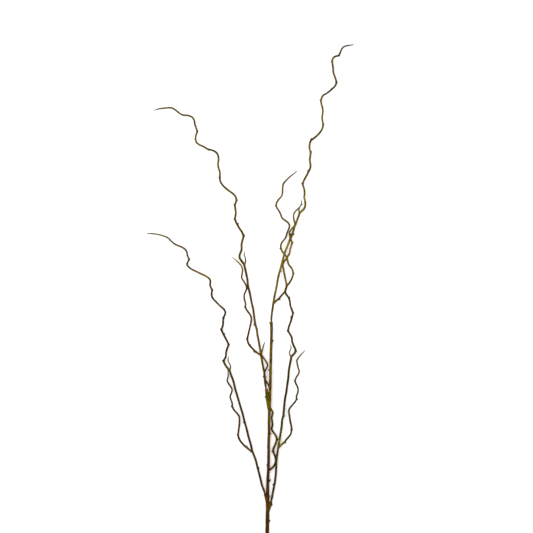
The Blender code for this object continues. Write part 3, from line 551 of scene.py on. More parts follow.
def makeCutWood(look):
    # the sawn foot: pale wood with rings, and a pith in the middle
    material, shader = newMaterial("cutWood")
    at = readMap(material, "barkPlace", "Vector")
    flatten = addNode(material, "ShaderNodeVectorMath", {0: at, 1: (1, 1, 0)}, operation="MULTIPLY")
    flat = flatten.outputs["Vector"]
    away = addNode(material, "ShaderNodeVectorMath", {0: flat}, operation="LENGTH").outputs["Value"]
    rings = addNode(material, "ShaderNodeTexWave",
                    {"Vector": flat, "Scale": look["ringScale"], "Distortion": look["ringWaver"],
                     "Detail": look["ringDetail"]}, wave_type="RINGS", rings_direction="Z")
    wood = mix(material, "MIX", rings.outputs["Color"], (*paint("tan"), 1), (*paint("paleTan"), 1))
    shrink = addNode(material, "ShaderNodeMath", {0: away, 1: 1 / look["span"]}, operation="MULTIPLY")
    pithStart, pithEnd = (reach / look["span"] for reach in look["pith"])
    core = ramp(material, shrink.outputs[0], pithStart, pithEnd, (*paint("brown"), 1))
    grain = addNode(material, "ShaderNodeTexNoise", {"Vector": at, "Scale": look["grainScale"]})
    raised = addBump(material, grain.outputs["Fac"], look["bump"], look["depth"])
    plug(material, shader, {"Base Color": mix(material, "MULTIPLY", 1.0, wood, core),
                            "Roughness": look["rough"], "Normal": raised})
    return material


brownBark = makeBark("brownBark", barkLook["brownBark"])
oliveBark = makeBark("oliveBark", barkLook["oliveBark"])
cutWood = makeCutWood(cutLook)
print("bark and wood are ready")

# In each stem's dictionary a route's points are x, y and height in metres, a knob's numbers are x, y and
# size, and tapers and colours are given by the distance along the stem
mainStem = {
    "stalk": [
        (-0.001, 0.0, 0.0044), (-0.001, 0.05, 0.0044), (-0.0006, 0.09, 0.0049), (0.0, 0.12, 0.0054),
        (0.0001, 0.15, 0.006), (0.0002, 0.19, 0.0072), (0.0008, 0.215, 0.008), (0.0022, 0.24, 0.009),
        (0.0027, 0.27, 0.01), (0.0028, 0.3, 0.011), (0.0038, 0.33, 0.0121), (0.0038, 0.355, 0.013),
        (0.0044, 0.38, 0.0138), (0.006, 0.41, 0.015), (0.0066, 0.44, 0.016), (0.0073, 0.465, 0.0168),
        (0.0078, 0.49, 0.0177), (0.0084, 0.52, 0.0187), (0.0091, 0.545, 0.0195), (0.0099, 0.57, 0.0203),
        (0.01, 0.595, 0.0211), (0.0097, 0.608, 0.0215),
    ],
    "taper": [(0.0, 0.0048), (0.105, 0.0047), (0.15, 0.0044), (0.2, 0.0038), (0.25, 0.0035),
              (0.3, 0.0036), (0.4, 0.0036), (0.575, 0.0035), (0.598, 0.0037), (0.608, 0.0037)],
    "colours": [(0, "redBrown"), (0.04, "olive"), (0.08, "redBrown"), (0.12, "olive"), (0.145, "tan"),
                (0.175, "redBrown"), (0.21, "redBrown"), (0.28, "redBrown"), (0.31, "tan"),
                (0.345, "tan"), (0.36, "straw"), (0.4, "straw"), (0.44, "straw"), (0.455, "tan"),
                (0.49, "straw"), (0.54, "straw"), (0.575, "tan"), (0.61, "straw")],
    "rim": "tan",
    "twig": [
        (0.0028, 0.236, 0.0088), (0.008, 0.2395, 0.0084), (0.0144, 0.245, 0.0071),
        (0.019, 0.253, 0.0064), (0.0208, 0.261, 0.006), (0.019, 0.271, 0.0059), (0.015, 0.281, 0.006),
        (0.014, 0.287, 0.0061), (0.0165, 0.294, 0.0062), (0.02, 0.303, 0.0064), (0.023, 0.314, 0.0066),
        (0.02, 0.324, 0.007), (0.014, 0.3325, 0.0074), (0.0103, 0.34, 0.0076), (0.0125, 0.349, 0.0076),
        (0.0115, 0.36, 0.0077), (0.0105, 0.367, 0.0078), (0.0125, 0.377, 0.008), (0.013, 0.382, 0.0082),
        (0.009, 0.389, 0.0084), (0.0065, 0.394, 0.0086), (0.0045, 0.405, 0.0088), (0.004, 0.42, 0.009),
        (0.0052, 0.435, 0.0092), (0.0037, 0.447, 0.0098), (0.0003, 0.453, 0.0104),
        (-0.0035, 0.4595, 0.0112), (-0.0075, 0.468, 0.0122), (-0.0085, 0.477, 0.013),
        (-0.0058, 0.4855, 0.0135), (-0.0022, 0.4925, 0.0138), (0.0002, 0.5, 0.014),
        (-0.0038, 0.509, 0.0143), (-0.01, 0.518, 0.0148), (-0.0138, 0.5235, 0.0152),
        (-0.0144, 0.529, 0.0158), (-0.0133, 0.536, 0.0165), (-0.0113, 0.543, 0.017),
        (-0.0092, 0.551, 0.0173), (-0.0065, 0.5575, 0.0175),
    ],
    "twigRadii": (0.0026, 0.0015),
    "twigColours": [(0, "redBrown"), (0.02, "brown"), (0.05, "redBrown"), (0.085, "straw"),
                    (0.12, "redBrown"), (0.16, "tan"), (0.2, "redBrown"), (0.27, "tan"),
                    (0.31, "paleTan"), (0.37, "greyTip")],
    "nub": [
        (0.001, 0.2085, 0.008), (0.0048, 0.2105, 0.0084), (0.008, 0.213, 0.009),
    ],
    "nubRadii": (0.0021, 0.0015),
    "nubColours": [(0, "darkBrown"), (0.01, "darkBrown")],
    "collars": [
        {
            "route": [
                (-0.0002, 0.15, 0.006), (-0.0014, 0.159, 0.0063), (-0.0033, 0.168, 0.0066),
                (-0.006, 0.177, 0.007),
            ],
            "taper": [(0.0, 0.003), (0.01, 0.0037), (0.02, 0.0038), (0.03, 0.0035)],
            "colours": [(0, "olive"), (0.015, "tan"), (0.03, "redBrown")],
            "rim": "darkBrown",
        },
        {
            "route": [
                (0.0012, 0.13, 0.0054), (0.0038, 0.14, 0.0058), (0.0062, 0.148, 0.0061),
                (0.0086, 0.157, 0.0064),
            ],
            "taper": [(0.0, 0.0028), (0.01, 0.0036), (0.02, 0.0038), (0.03, 0.0035)],
            "colours": [(0, "redBrown"), (0.012, "tan"), (0.022, "tan"), (0.03, "tan")],
            "rim": "brown",
        },
        {
            "route": [
                (0.0038, 0.383, 0.014), (0.0024, 0.398, 0.0158), (0.0009, 0.412, 0.0172),
                (-0.0009, 0.427, 0.0182), (-0.0028, 0.44, 0.019),
            ],
            "taper": [(0.0, 0.0026), (0.015, 0.0042), (0.03, 0.0048), (0.045, 0.0045), (0.06, 0.0039)],
            "colours": [(0, "olive"), (0.012, "yellowGreen"), (0.025, "yellowGreen"),
                        (0.035, "yellowOlive"), (0.048, "yellowOlive"), (0.055, "orangeTan"),
                        (0.06, "orangeTan")],
            "rim": "orangeTan",
        },
    ],
    "knobs": [
        (0.005, 0.11, 0.0022), (0.0118, 0.15, 0.0019), (0.0052, 0.171, 0.0018), (-0.0015, 0.25, 0.0017),
        (0.0078, 0.328, 0.0018), (-0.006, 0.42, 0.0019), (0.0035, 0.4885, 0.0018),
        (0.0142, 0.561, 0.002), (0.0052, 0.606, 0.0018), (0.0245, 0.314, 0.0014),
        (0.012, 0.2835, 0.0014),
    ],
}


def growMain(parts):
    bm = newMesh()[0]
    stalk = layStem(parts["stalk"], parts["taper"], parts["colours"], growth["mainSides"], seed=1.0)
    stalk["sawn"] = True
    addScars(stalk, "main")
    openSocket(stalk, parts["rim"])
    twig = layShoot(parts, "twig", seed=2.0)
    addScars(twig, "mainTwig")
    closeTip(twig)
    nub = layShoot(parts, "nub", seed=3.0)
    closeTip(nub)
    stems = [stalk, twig]
    for number, shape in enumerate(parts["collars"]):
        collar = layStem(shape["route"], shape["taper"], shape["colours"],
                         growth["collarSides"], seed=4.0 + number)
        openSocket(collar, shape["rim"])
        stems.append(collar)
    for shoot in stems[1:] + [nub]:
        meetColours(stalk, shoot)
    addKnobs(stems, parts["knobs"])
    for stem in stems + [nub]:
        growStem(bm, stem)
        growBuds(bm, stem)
    finishPiece("mainStem", bm, [brownBark, cutWood], "main_stem")


growMain(mainStem)


def growSide(name, parts, node, seed):
    bm = newMesh()[0]
    shoot = layStem(parts["stalk"] + parts["curl"], parts["taper"], parts["colours"],
                    growth["stalkSides"], seed)
    twig = layShoot(parts, "twig", seed + 1)
    spur = layShoot(parts, "spur", seed + 2)
    addScars(shoot, "stalk")
    addScars(twig, "twig")
    addScars(spur, "spur")
    meetColours(shoot, twig)
    meetColours(shoot, spur)
    addKnobs([shoot, twig], parts["knobs"])
    for stem in (shoot, twig, spur):
        closeTip(stem)
        growStem(bm, stem)
        growBuds(bm, stem)
    finishPiece(name, bm, [oliveBark], node)


leftStem = {
    "stalk": [
        (-0.0033, 0.1682, 0.0066), (-0.006, 0.177, 0.007), (-0.0106, 0.19, 0.0074),
        (-0.0142, 0.2, 0.0078), (-0.0188, 0.22, 0.0084), (-0.0242, 0.24, 0.009),
        (-0.0289, 0.26, 0.0096), (-0.034, 0.274, 0.01), (-0.0386, 0.286, 0.0104),
        (-0.0415, 0.3, 0.0108), (-0.0475, 0.32, 0.0114), (-0.0515, 0.337, 0.0118),
        (-0.0575, 0.359, 0.0124), (-0.0628, 0.38, 0.0128), (-0.069, 0.4, 0.0131),
        (-0.0748, 0.42, 0.0133), (-0.0806, 0.44, 0.0134), (-0.0856, 0.46, 0.0135),
        (-0.0915, 0.476, 0.0135), (-0.096, 0.487, 0.0136),
    ],
    "curl": [
        (-0.103, 0.496, 0.0144), (-0.108, 0.505, 0.0152), (-0.1086, 0.512, 0.0155),
        (-0.1044, 0.521, 0.0146), (-0.1036, 0.531, 0.013), (-0.1009, 0.541, 0.0112),
        (-0.098, 0.551, 0.0092), (-0.1028, 0.5625, 0.0076), (-0.1094, 0.575, 0.0072),
        (-0.1148, 0.588, 0.0082), (-0.1118, 0.599, 0.01), (-0.111, 0.612, 0.0118),
        (-0.1088, 0.621, 0.0127), (-0.1055, 0.63, 0.013), (-0.1088, 0.639, 0.0122),
        (-0.12, 0.649, 0.0098), (-0.13, 0.659, 0.007), (-0.1384, 0.669, 0.0042), (-0.14, 0.679, 0.0029),
        (-0.1392, 0.6875, 0.0021), (-0.1418, 0.694, 0.002), (-0.144, 0.7, 0.002),
        (-0.143, 0.708, 0.002), (-0.145, 0.715, 0.0024), (-0.154, 0.722, 0.0034),
        (-0.1638, 0.7268, 0.0056), (-0.1775, 0.7335, 0.0088), (-0.1906, 0.74, 0.0114),
        (-0.1985, 0.7463, 0.0128), (-0.2013, 0.7525, 0.0132), (-0.1985, 0.7595, 0.0126),
        (-0.1966, 0.765, 0.0114), (-0.2, 0.7725, 0.0092), (-0.2016, 0.7805, 0.007),
        (-0.205, 0.788, 0.0054), (-0.214, 0.7945, 0.0046), (-0.2275, 0.8, 0.0052),
        (-0.2355, 0.805, 0.0064), (-0.242, 0.8112, 0.0084), (-0.25, 0.8185, 0.0108),
        (-0.261, 0.823, 0.0126), (-0.274, 0.8265, 0.0136), (-0.288, 0.8283, 0.0138),
        (-0.3012, 0.8288, 0.0132),
    ],
    "twig": [
        (-0.0365, 0.2812, 0.0102), (-0.0415, 0.2845, 0.0106), (-0.0456, 0.288, 0.0112),
        (-0.051, 0.2925, 0.012), (-0.06, 0.3005, 0.0132), (-0.0675, 0.3095, 0.0143),
        (-0.0722, 0.319, 0.0149), (-0.0733, 0.327, 0.015), (-0.072, 0.339, 0.0142),
        (-0.0706, 0.35, 0.013), (-0.07, 0.362, 0.0118), (-0.0712, 0.3715, 0.0111),
        (-0.077, 0.38, 0.011), (-0.0838, 0.3875, 0.0116), (-0.0881, 0.3965, 0.013),
        (-0.0885, 0.405, 0.0146), (-0.0915, 0.413, 0.0158), (-0.0932, 0.422, 0.0165),
        (-0.09, 0.431, 0.0163), (-0.0886, 0.438, 0.0155), (-0.092, 0.446, 0.014),
        (-0.0985, 0.455, 0.0118), (-0.1007, 0.4625, 0.0104), (-0.0985, 0.4715, 0.0096),
        (-0.0988, 0.48, 0.009), (-0.0995, 0.487, 0.0086),
    ],
    "spur": [
        (-0.0945, 0.485, 0.0136), (-0.0928, 0.493, 0.0145), (-0.093, 0.4995, 0.0155),
        (-0.0962, 0.5055, 0.016), (-0.0984, 0.5105, 0.0161), (-0.0984, 0.515, 0.0157),
        (-0.0968, 0.521, 0.015),
    ],
    "knobs": [
        (-0.0212, 0.243, 0.0016), (-0.0602, 0.356, 0.0016), (-0.0522, 0.295, 0.0017),
        (-0.0745, 0.3255, 0.0014), (-0.09, 0.397, 0.0014), (-0.1115, 0.511, 0.0019),
        (-0.0965, 0.551, 0.0014), (-0.107, 0.5785, 0.0017), (-0.1165, 0.589, 0.0014),
        (-0.1125, 0.619, 0.0014), (-0.137, 0.688, 0.0013), (-0.1945, 0.7645, 0.0012),
    ],
    "taper": [(0, 0.0021), (0.0135, 0.0021), (0.0195, 0.0027), (0.06, 0.0028), (0.33, 0.0028),
              (0.4, 0.0026), (0.6, 0.0024), (0.72, 0.0022), (0.78, 0.0019), (0.807, 0.0017)],
    "twigRadii": (0.0026, 0.0015),
    "spurRadii": (0.0018, 0.0012),
    "colours": [(0, "redBrown"), (0.02, "redBrown"), (0.06, "darkBrown"), (0.11, "brown"),
                (0.22, "brown"), (0.27, "olive"), (0.31, "brown"), (0.325, "olive"),
                (0.335, "yellowOlive"), (0.35, "yellowOlive"), (0.365, "darkBrown"), (0.43, "brown"),
                (0.47, "darkBrown"), (0.515, "yellowOlive"), (0.545, "brown"), (0.575, "brown"),
                (0.61, "straw"), (0.63, "straw"), (0.65, "olive"), (0.69, "olive"), (0.71, "straw"),
                (0.735, "yellowOlive"), (0.76, "straw"), (0.8, "greyTip")],
    "twigColours": [(0, "olive"), (0.01, "tan"), (0.04, "brown"), (0.08, "redBrown"), (0.13, "brown"),
                    (0.18, "greyBrown"), (0.24, "greyBrown")],
    "spurColours": [(0, "yellowOlive"), (0.008, "greyTip"), (0.04, "greyTip")],
}
growSide("leftStem", leftStem, "left_stem", seed=11.0)

rightStem = {
    "stalk": [
        (0.006, 0.1474, 0.0061), (0.0086, 0.157, 0.0064), (0.011, 0.167, 0.007), (0.0132, 0.18, 0.0078),
        (0.0172, 0.2, 0.009), (0.0198, 0.218, 0.0099), (0.0215, 0.238, 0.0109), (0.0222, 0.26, 0.0119),
        (0.0242, 0.277, 0.0126), (0.0263, 0.29, 0.0131), (0.0289, 0.305, 0.0138),
        (0.0312, 0.32, 0.0144), (0.0338, 0.336, 0.015), (0.0357, 0.35, 0.0155), (0.0365, 0.362, 0.0159),
        (0.0389, 0.3715, 0.0162), (0.0404, 0.382, 0.0165), (0.0418, 0.398, 0.017),
        (0.0436, 0.415, 0.0174), (0.0466, 0.43, 0.0177), (0.0484, 0.444, 0.018),
        (0.0505, 0.458, 0.0181), (0.052, 0.47, 0.0182), (0.0532, 0.485, 0.0183), (0.0556, 0.5, 0.0183),
        (0.058, 0.512, 0.0183), (0.06, 0.521, 0.0184),
    ],
    "curl": [
        (0.0656, 0.527, 0.0188), (0.0694, 0.533, 0.0194), (0.0694, 0.54, 0.02),
        (0.0648, 0.5495, 0.0208), (0.0616, 0.559, 0.0213), (0.0605, 0.569, 0.0216),
        (0.056, 0.5775, 0.0219), (0.052, 0.585, 0.022), (0.053, 0.5945, 0.0214),
        (0.0575, 0.607, 0.0204), (0.0605, 0.617, 0.0198), (0.063, 0.628, 0.0198),
        (0.0612, 0.6375, 0.0204), (0.0572, 0.648, 0.0213), (0.0555, 0.66, 0.0222),
        (0.052, 0.6695, 0.0231), (0.046, 0.678, 0.024), (0.0446, 0.686, 0.0245),
        (0.0475, 0.696, 0.0246), (0.055, 0.706, 0.0245), (0.061, 0.717, 0.0255),
        (0.0638, 0.729, 0.0266), (0.0614, 0.74, 0.0272), (0.054, 0.7495, 0.0271),
        (0.0504, 0.759, 0.0265), (0.0482, 0.7685, 0.0259), (0.042, 0.777, 0.0257),
        (0.036, 0.7855, 0.026), (0.0332, 0.7945, 0.0262), (0.0345, 0.8035, 0.026),
        (0.04, 0.8115, 0.0254), (0.0458, 0.8195, 0.0248), (0.0485, 0.829, 0.0245),
        (0.0528, 0.8395, 0.0244), (0.0549, 0.848, 0.0242), (0.051, 0.856, 0.0236),
        (0.043, 0.862, 0.0226), (0.036, 0.868, 0.0214), (0.0328, 0.877, 0.02), (0.0276, 0.8865, 0.0186),
        (0.0224, 0.895, 0.0174), (0.0222, 0.904, 0.0163), (0.0268, 0.9125, 0.0153),
        (0.034, 0.921, 0.0145), (0.0372, 0.929, 0.014), (0.0376, 0.94, 0.0138), (0.0393, 0.952, 0.014),
        (0.046, 0.961, 0.0142), (0.0563, 0.971, 0.0141), (0.066, 0.9785, 0.0137),
        (0.0732, 0.9842, 0.0132),
    ],
    "twig": [
        (0.0266, 0.292, 0.0132), (0.0325, 0.2985, 0.014), (0.0375, 0.303, 0.0147),
        (0.0425, 0.3075, 0.0155), (0.047, 0.3135, 0.0161), (0.053, 0.3205, 0.0167),
        (0.058, 0.3275, 0.017), (0.0598, 0.337, 0.0164), (0.0595, 0.347, 0.0154),
        (0.057, 0.359, 0.0143), (0.0548, 0.373, 0.014), (0.0533, 0.3845, 0.0148),
        (0.0558, 0.3922, 0.0163), (0.062, 0.4, 0.0178), (0.0685, 0.4075, 0.019),
        (0.0721, 0.4145, 0.0196), (0.0725, 0.422, 0.0193), (0.0755, 0.431, 0.0182),
        (0.0765, 0.4385, 0.017), (0.074, 0.4475, 0.0154), (0.0705, 0.4545, 0.0146),
        (0.0692, 0.4615, 0.0145), (0.0717, 0.4685, 0.0153), (0.077, 0.4775, 0.0168),
        (0.0793, 0.484, 0.0175), (0.077, 0.4915, 0.0171), (0.075, 0.5, 0.0161),
        (0.0734, 0.5105, 0.0151), (0.0762, 0.5165, 0.0151), (0.0838, 0.5262, 0.016),
        (0.0888, 0.5312, 0.0168), (0.0932, 0.5365, 0.0175),
    ],
    "spur": [
        (0.0592, 0.5195, 0.0184), (0.0562, 0.525, 0.0189), (0.0546, 0.5315, 0.0194),
        (0.057, 0.537, 0.0199), (0.0588, 0.5435, 0.0203), (0.0575, 0.5505, 0.0205),
    ],
    "knobs": [
        (0.0125, 0.201, 0.0017), (0.0425, 0.3735, 0.0016), (0.0455, 0.306, 0.0018),
        (0.062, 0.34, 0.0013), (0.0755, 0.4138, 0.0014), (0.0668, 0.4615, 0.0013),
        (0.0712, 0.5345, 0.0014), (0.05, 0.586, 0.0015), (0.0557, 0.6205, 0.0018),
        (0.0652, 0.6305, 0.0014), (0.0545, 0.669, 0.0015), (0.0655, 0.729, 0.0013),
        (0.0315, 0.7915, 0.0014), (0.021, 0.898, 0.0012),
    ],
    "taper": [(0, 0.0021), (0.0135, 0.0021), (0.0195, 0.0027), (0.06, 0.0028), (0.3, 0.003),
              (0.37, 0.003), (0.41, 0.0027), (0.6, 0.0025), (0.7, 0.0024), (0.86, 0.0023),
              (0.906, 0.0017)],
    "twigRadii": (0.0026, 0.0015),
    "spurRadii": (0.0018, 0.0012),
    "colours": [(0, "darkBrown"), (0.04, "darkBrown"), (0.08, "brown"), (0.12, "olive"),
                (0.155, "yellowOlive"), (0.165, "yellowGreen"), (0.175, "olive"), (0.22, "olive"),
                (0.27, "brown"), (0.36, "brown"), (0.374, "redBrown"), (0.38, "tan"), (0.388, "olive"),
                (0.43, "brown"), (0.48, "olive"), (0.52, "brown"), (0.56, "olive"), (0.62, "straw"),
                (0.68, "straw"), (0.72, "yellowOlive"), (0.78, "straw"), (0.84, "straw"),
                (0.87, "greyTip"), (0.9, "greyTip")],
    "twigColours": [(0, "yellowOlive"), (0.01, "yellowGreen"), (0.03, "olive"), (0.09, "olive"),
                    (0.12, "brown"), (0.18, "olive"), (0.24, "tan"), (0.26, "greyTip"),
                    (0.28, "greyTip")],
    "spurColours": [(0, "tan"), (0.005, "orangeTan"), (0.01, "greyTip"), (0.04, "greyTip")],
}
growSide("rightStem", rightStem, "right_stem", seed=21.0)

upperLeftStem = {
    "stalk": [
        (-0.0019, 0.4295, 0.0184), (-0.0034, 0.44, 0.019), (-0.0052, 0.45, 0.0195),
        (-0.0066, 0.461, 0.02), (-0.007, 0.471, 0.0204), (-0.008, 0.481, 0.0208),
        (-0.0101, 0.491, 0.0212), (-0.0122, 0.502, 0.0216), (-0.0138, 0.511, 0.0219),
        (-0.0163, 0.525, 0.0223), (-0.018, 0.537, 0.0227), (-0.0204, 0.551, 0.0231),
        (-0.0228, 0.564, 0.0235), (-0.0252, 0.576, 0.0238), (-0.0265, 0.588, 0.024),
        (-0.03, 0.6, 0.0243), (-0.0325, 0.615, 0.0245), (-0.0352, 0.636, 0.0246),
        (-0.0388, 0.653, 0.0245), (-0.0418, 0.668, 0.0243), (-0.045, 0.683, 0.0239),
        (-0.0485, 0.6975, 0.0234), (-0.0503, 0.714, 0.0228), (-0.0533, 0.729, 0.0222),
        (-0.0563, 0.742, 0.0217), (-0.0588, 0.7515, 0.0214),
    ],
    "curl": [
        (-0.064, 0.759, 0.0203), (-0.0688, 0.766, 0.019), (-0.07, 0.7735, 0.0178),
        (-0.0675, 0.781, 0.0168), (-0.0648, 0.789, 0.0162), (-0.065, 0.8, 0.0163),
        (-0.0628, 0.811, 0.0175), (-0.0602, 0.8215, 0.0192), (-0.0635, 0.8315, 0.0208),
        (-0.069, 0.84, 0.022), (-0.074, 0.848, 0.0228), (-0.079, 0.858, 0.0229),
        (-0.081, 0.8665, 0.0223), (-0.0792, 0.879, 0.0204), (-0.0805, 0.891, 0.0185),
        (-0.0812, 0.9, 0.0172), (-0.0782, 0.91, 0.0162), (-0.079, 0.9185, 0.0163),
        (-0.085, 0.927, 0.0176), (-0.0938, 0.9335, 0.0194), (-0.104, 0.9415, 0.0211),
        (-0.113, 0.9505, 0.0219), (-0.1183, 0.9605, 0.0216), (-0.119, 0.972, 0.02),
        (-0.1192, 0.982, 0.0182), (-0.1222, 0.992, 0.016), (-0.1238, 1.002, 0.014),
        (-0.1225, 1.0145, 0.0124), (-0.1245, 1.026, 0.012), (-0.131, 1.0335, 0.0125),
        (-0.14, 1.0375, 0.0136), (-0.1495, 1.0397, 0.0149), (-0.1605, 1.0462, 0.0166),
        (-0.17, 1.0503, 0.0177), (-0.177, 1.0557, 0.0181), (-0.18, 1.064, 0.0174),
        (-0.179, 1.0735, 0.0158), (-0.1762, 1.083, 0.014), (-0.1785, 1.0925, 0.0121),
        (-0.1818, 1.102, 0.0105), (-0.1834, 1.112, 0.0093), (-0.189, 1.12, 0.0087),
        (-0.199, 1.1241, 0.0086), (-0.211, 1.125, 0.0094), (-0.22, 1.1294, 0.0107),
        (-0.2294, 1.1369, 0.0122), (-0.2385, 1.1425, 0.0132), (-0.25, 1.143, 0.0134),
        (-0.26, 1.142, 0.0131), (-0.272, 1.1405, 0.0123), (-0.2845, 1.1367, 0.0112),
    ],
    "twig": [
        (-0.0165, 0.5255, 0.0224), (-0.0225, 0.5285, 0.0228), (-0.027, 0.5315, 0.0232),
        (-0.0318, 0.5355, 0.0237), (-0.038, 0.542, 0.0243), (-0.044, 0.5485, 0.0248),
        (-0.0485, 0.5565, 0.0252), (-0.05, 0.5655, 0.0251), (-0.0478, 0.578, 0.0243),
        (-0.0445, 0.592, 0.023), (-0.0415, 0.6055, 0.0219), (-0.0402, 0.616, 0.0214),
        (-0.043, 0.625, 0.0216), (-0.0495, 0.634, 0.0226), (-0.0548, 0.643, 0.024),
        (-0.055, 0.654, 0.0255), (-0.058, 0.666, 0.0267), (-0.0578, 0.6765, 0.0272),
        (-0.054, 0.6855, 0.0272), (-0.052, 0.6935, 0.027), (-0.055, 0.702, 0.0264),
        (-0.0605, 0.711, 0.0256), (-0.0648, 0.719, 0.025), (-0.0632, 0.729, 0.0246),
        (-0.0625, 0.739, 0.0246), (-0.0655, 0.7478, 0.0251), (-0.0725, 0.7562, 0.0259),
        (-0.081, 0.7637, 0.0266), (-0.0878, 0.7692, 0.027),
    ],
    "spur": [
        (-0.0578, 0.748, 0.0215), (-0.0556, 0.755, 0.0222), (-0.0545, 0.7625, 0.023),
        (-0.056, 0.769, 0.0236), (-0.058, 0.776, 0.0239), (-0.0574, 0.783, 0.024),
    ],
    "knobs": [
        (-0.0098, 0.471, 0.0017), (-0.0042, 0.47, 0.0014), (-0.0326, 0.601, 0.0016),
        (-0.033, 0.534, 0.0018), (-0.0402, 0.553, 0.0012), (-0.0518, 0.5655, 0.0014),
        (-0.057, 0.645, 0.0014), (-0.058, 0.8245, 0.0015), (-0.0725, 0.8535, 0.0018),
        (-0.0828, 0.865, 0.0014), (-0.083, 0.901, 0.0014), (-0.0762, 0.912, 0.0014),
        (-0.121, 0.969, 0.0013), (-0.148, 1.0372, 0.0013), (-0.1742, 1.085, 0.0012),
    ],
    "taper": [(0, 0.0021), (0.0135, 0.0021), (0.0195, 0.0027), (0.06, 0.0028), (0.33, 0.0028),
              (0.55, 0.0026), (0.7, 0.0024), (0.83, 0.0023), (0.867, 0.0017)],
    "twigRadii": (0.0026, 0.0015),
    "spurRadii": (0.0018, 0.0012),
    "colours": [(0, "redBrown"), (0.03, "redBrown"), (0.06, "olive"), (0.09, "straw"), (0.14, "tan"),
                (0.18, "tan"), (0.31, "redBrown"), (0.325, "tan"), (0.335, "olive"),
                (0.37, "yellowOlive"), (0.41, "tan"), (0.46, "tan"), (0.5, "straw"),
                (0.56, "yellowOlive"), (0.6, "straw"), (0.645, "olive"), (0.67, "yellowOlive"),
                (0.7, "straw"), (0.75, "yellowOlive"), (0.8, "straw"), (0.86, "straw")],
    "twigColours": [(0, "tan"), (0.01, "tan"), (0.03, "redBrown"), (0.07, "redBrown"), (0.11, "tan"),
                    (0.16, "tan"), (0.19, "redBrown"), (0.22, "tan"), (0.25, "paleTan"),
                    (0.28, "paleTan")],
    "spurColours": [(0, "tan"), (0.006, "orangeTan"), (0.012, "greyBrown"), (0.04, "greyTip")],
}
growSide("upperLeftStem", upperLeftStem, "upper_left_stem", seed=31.0)

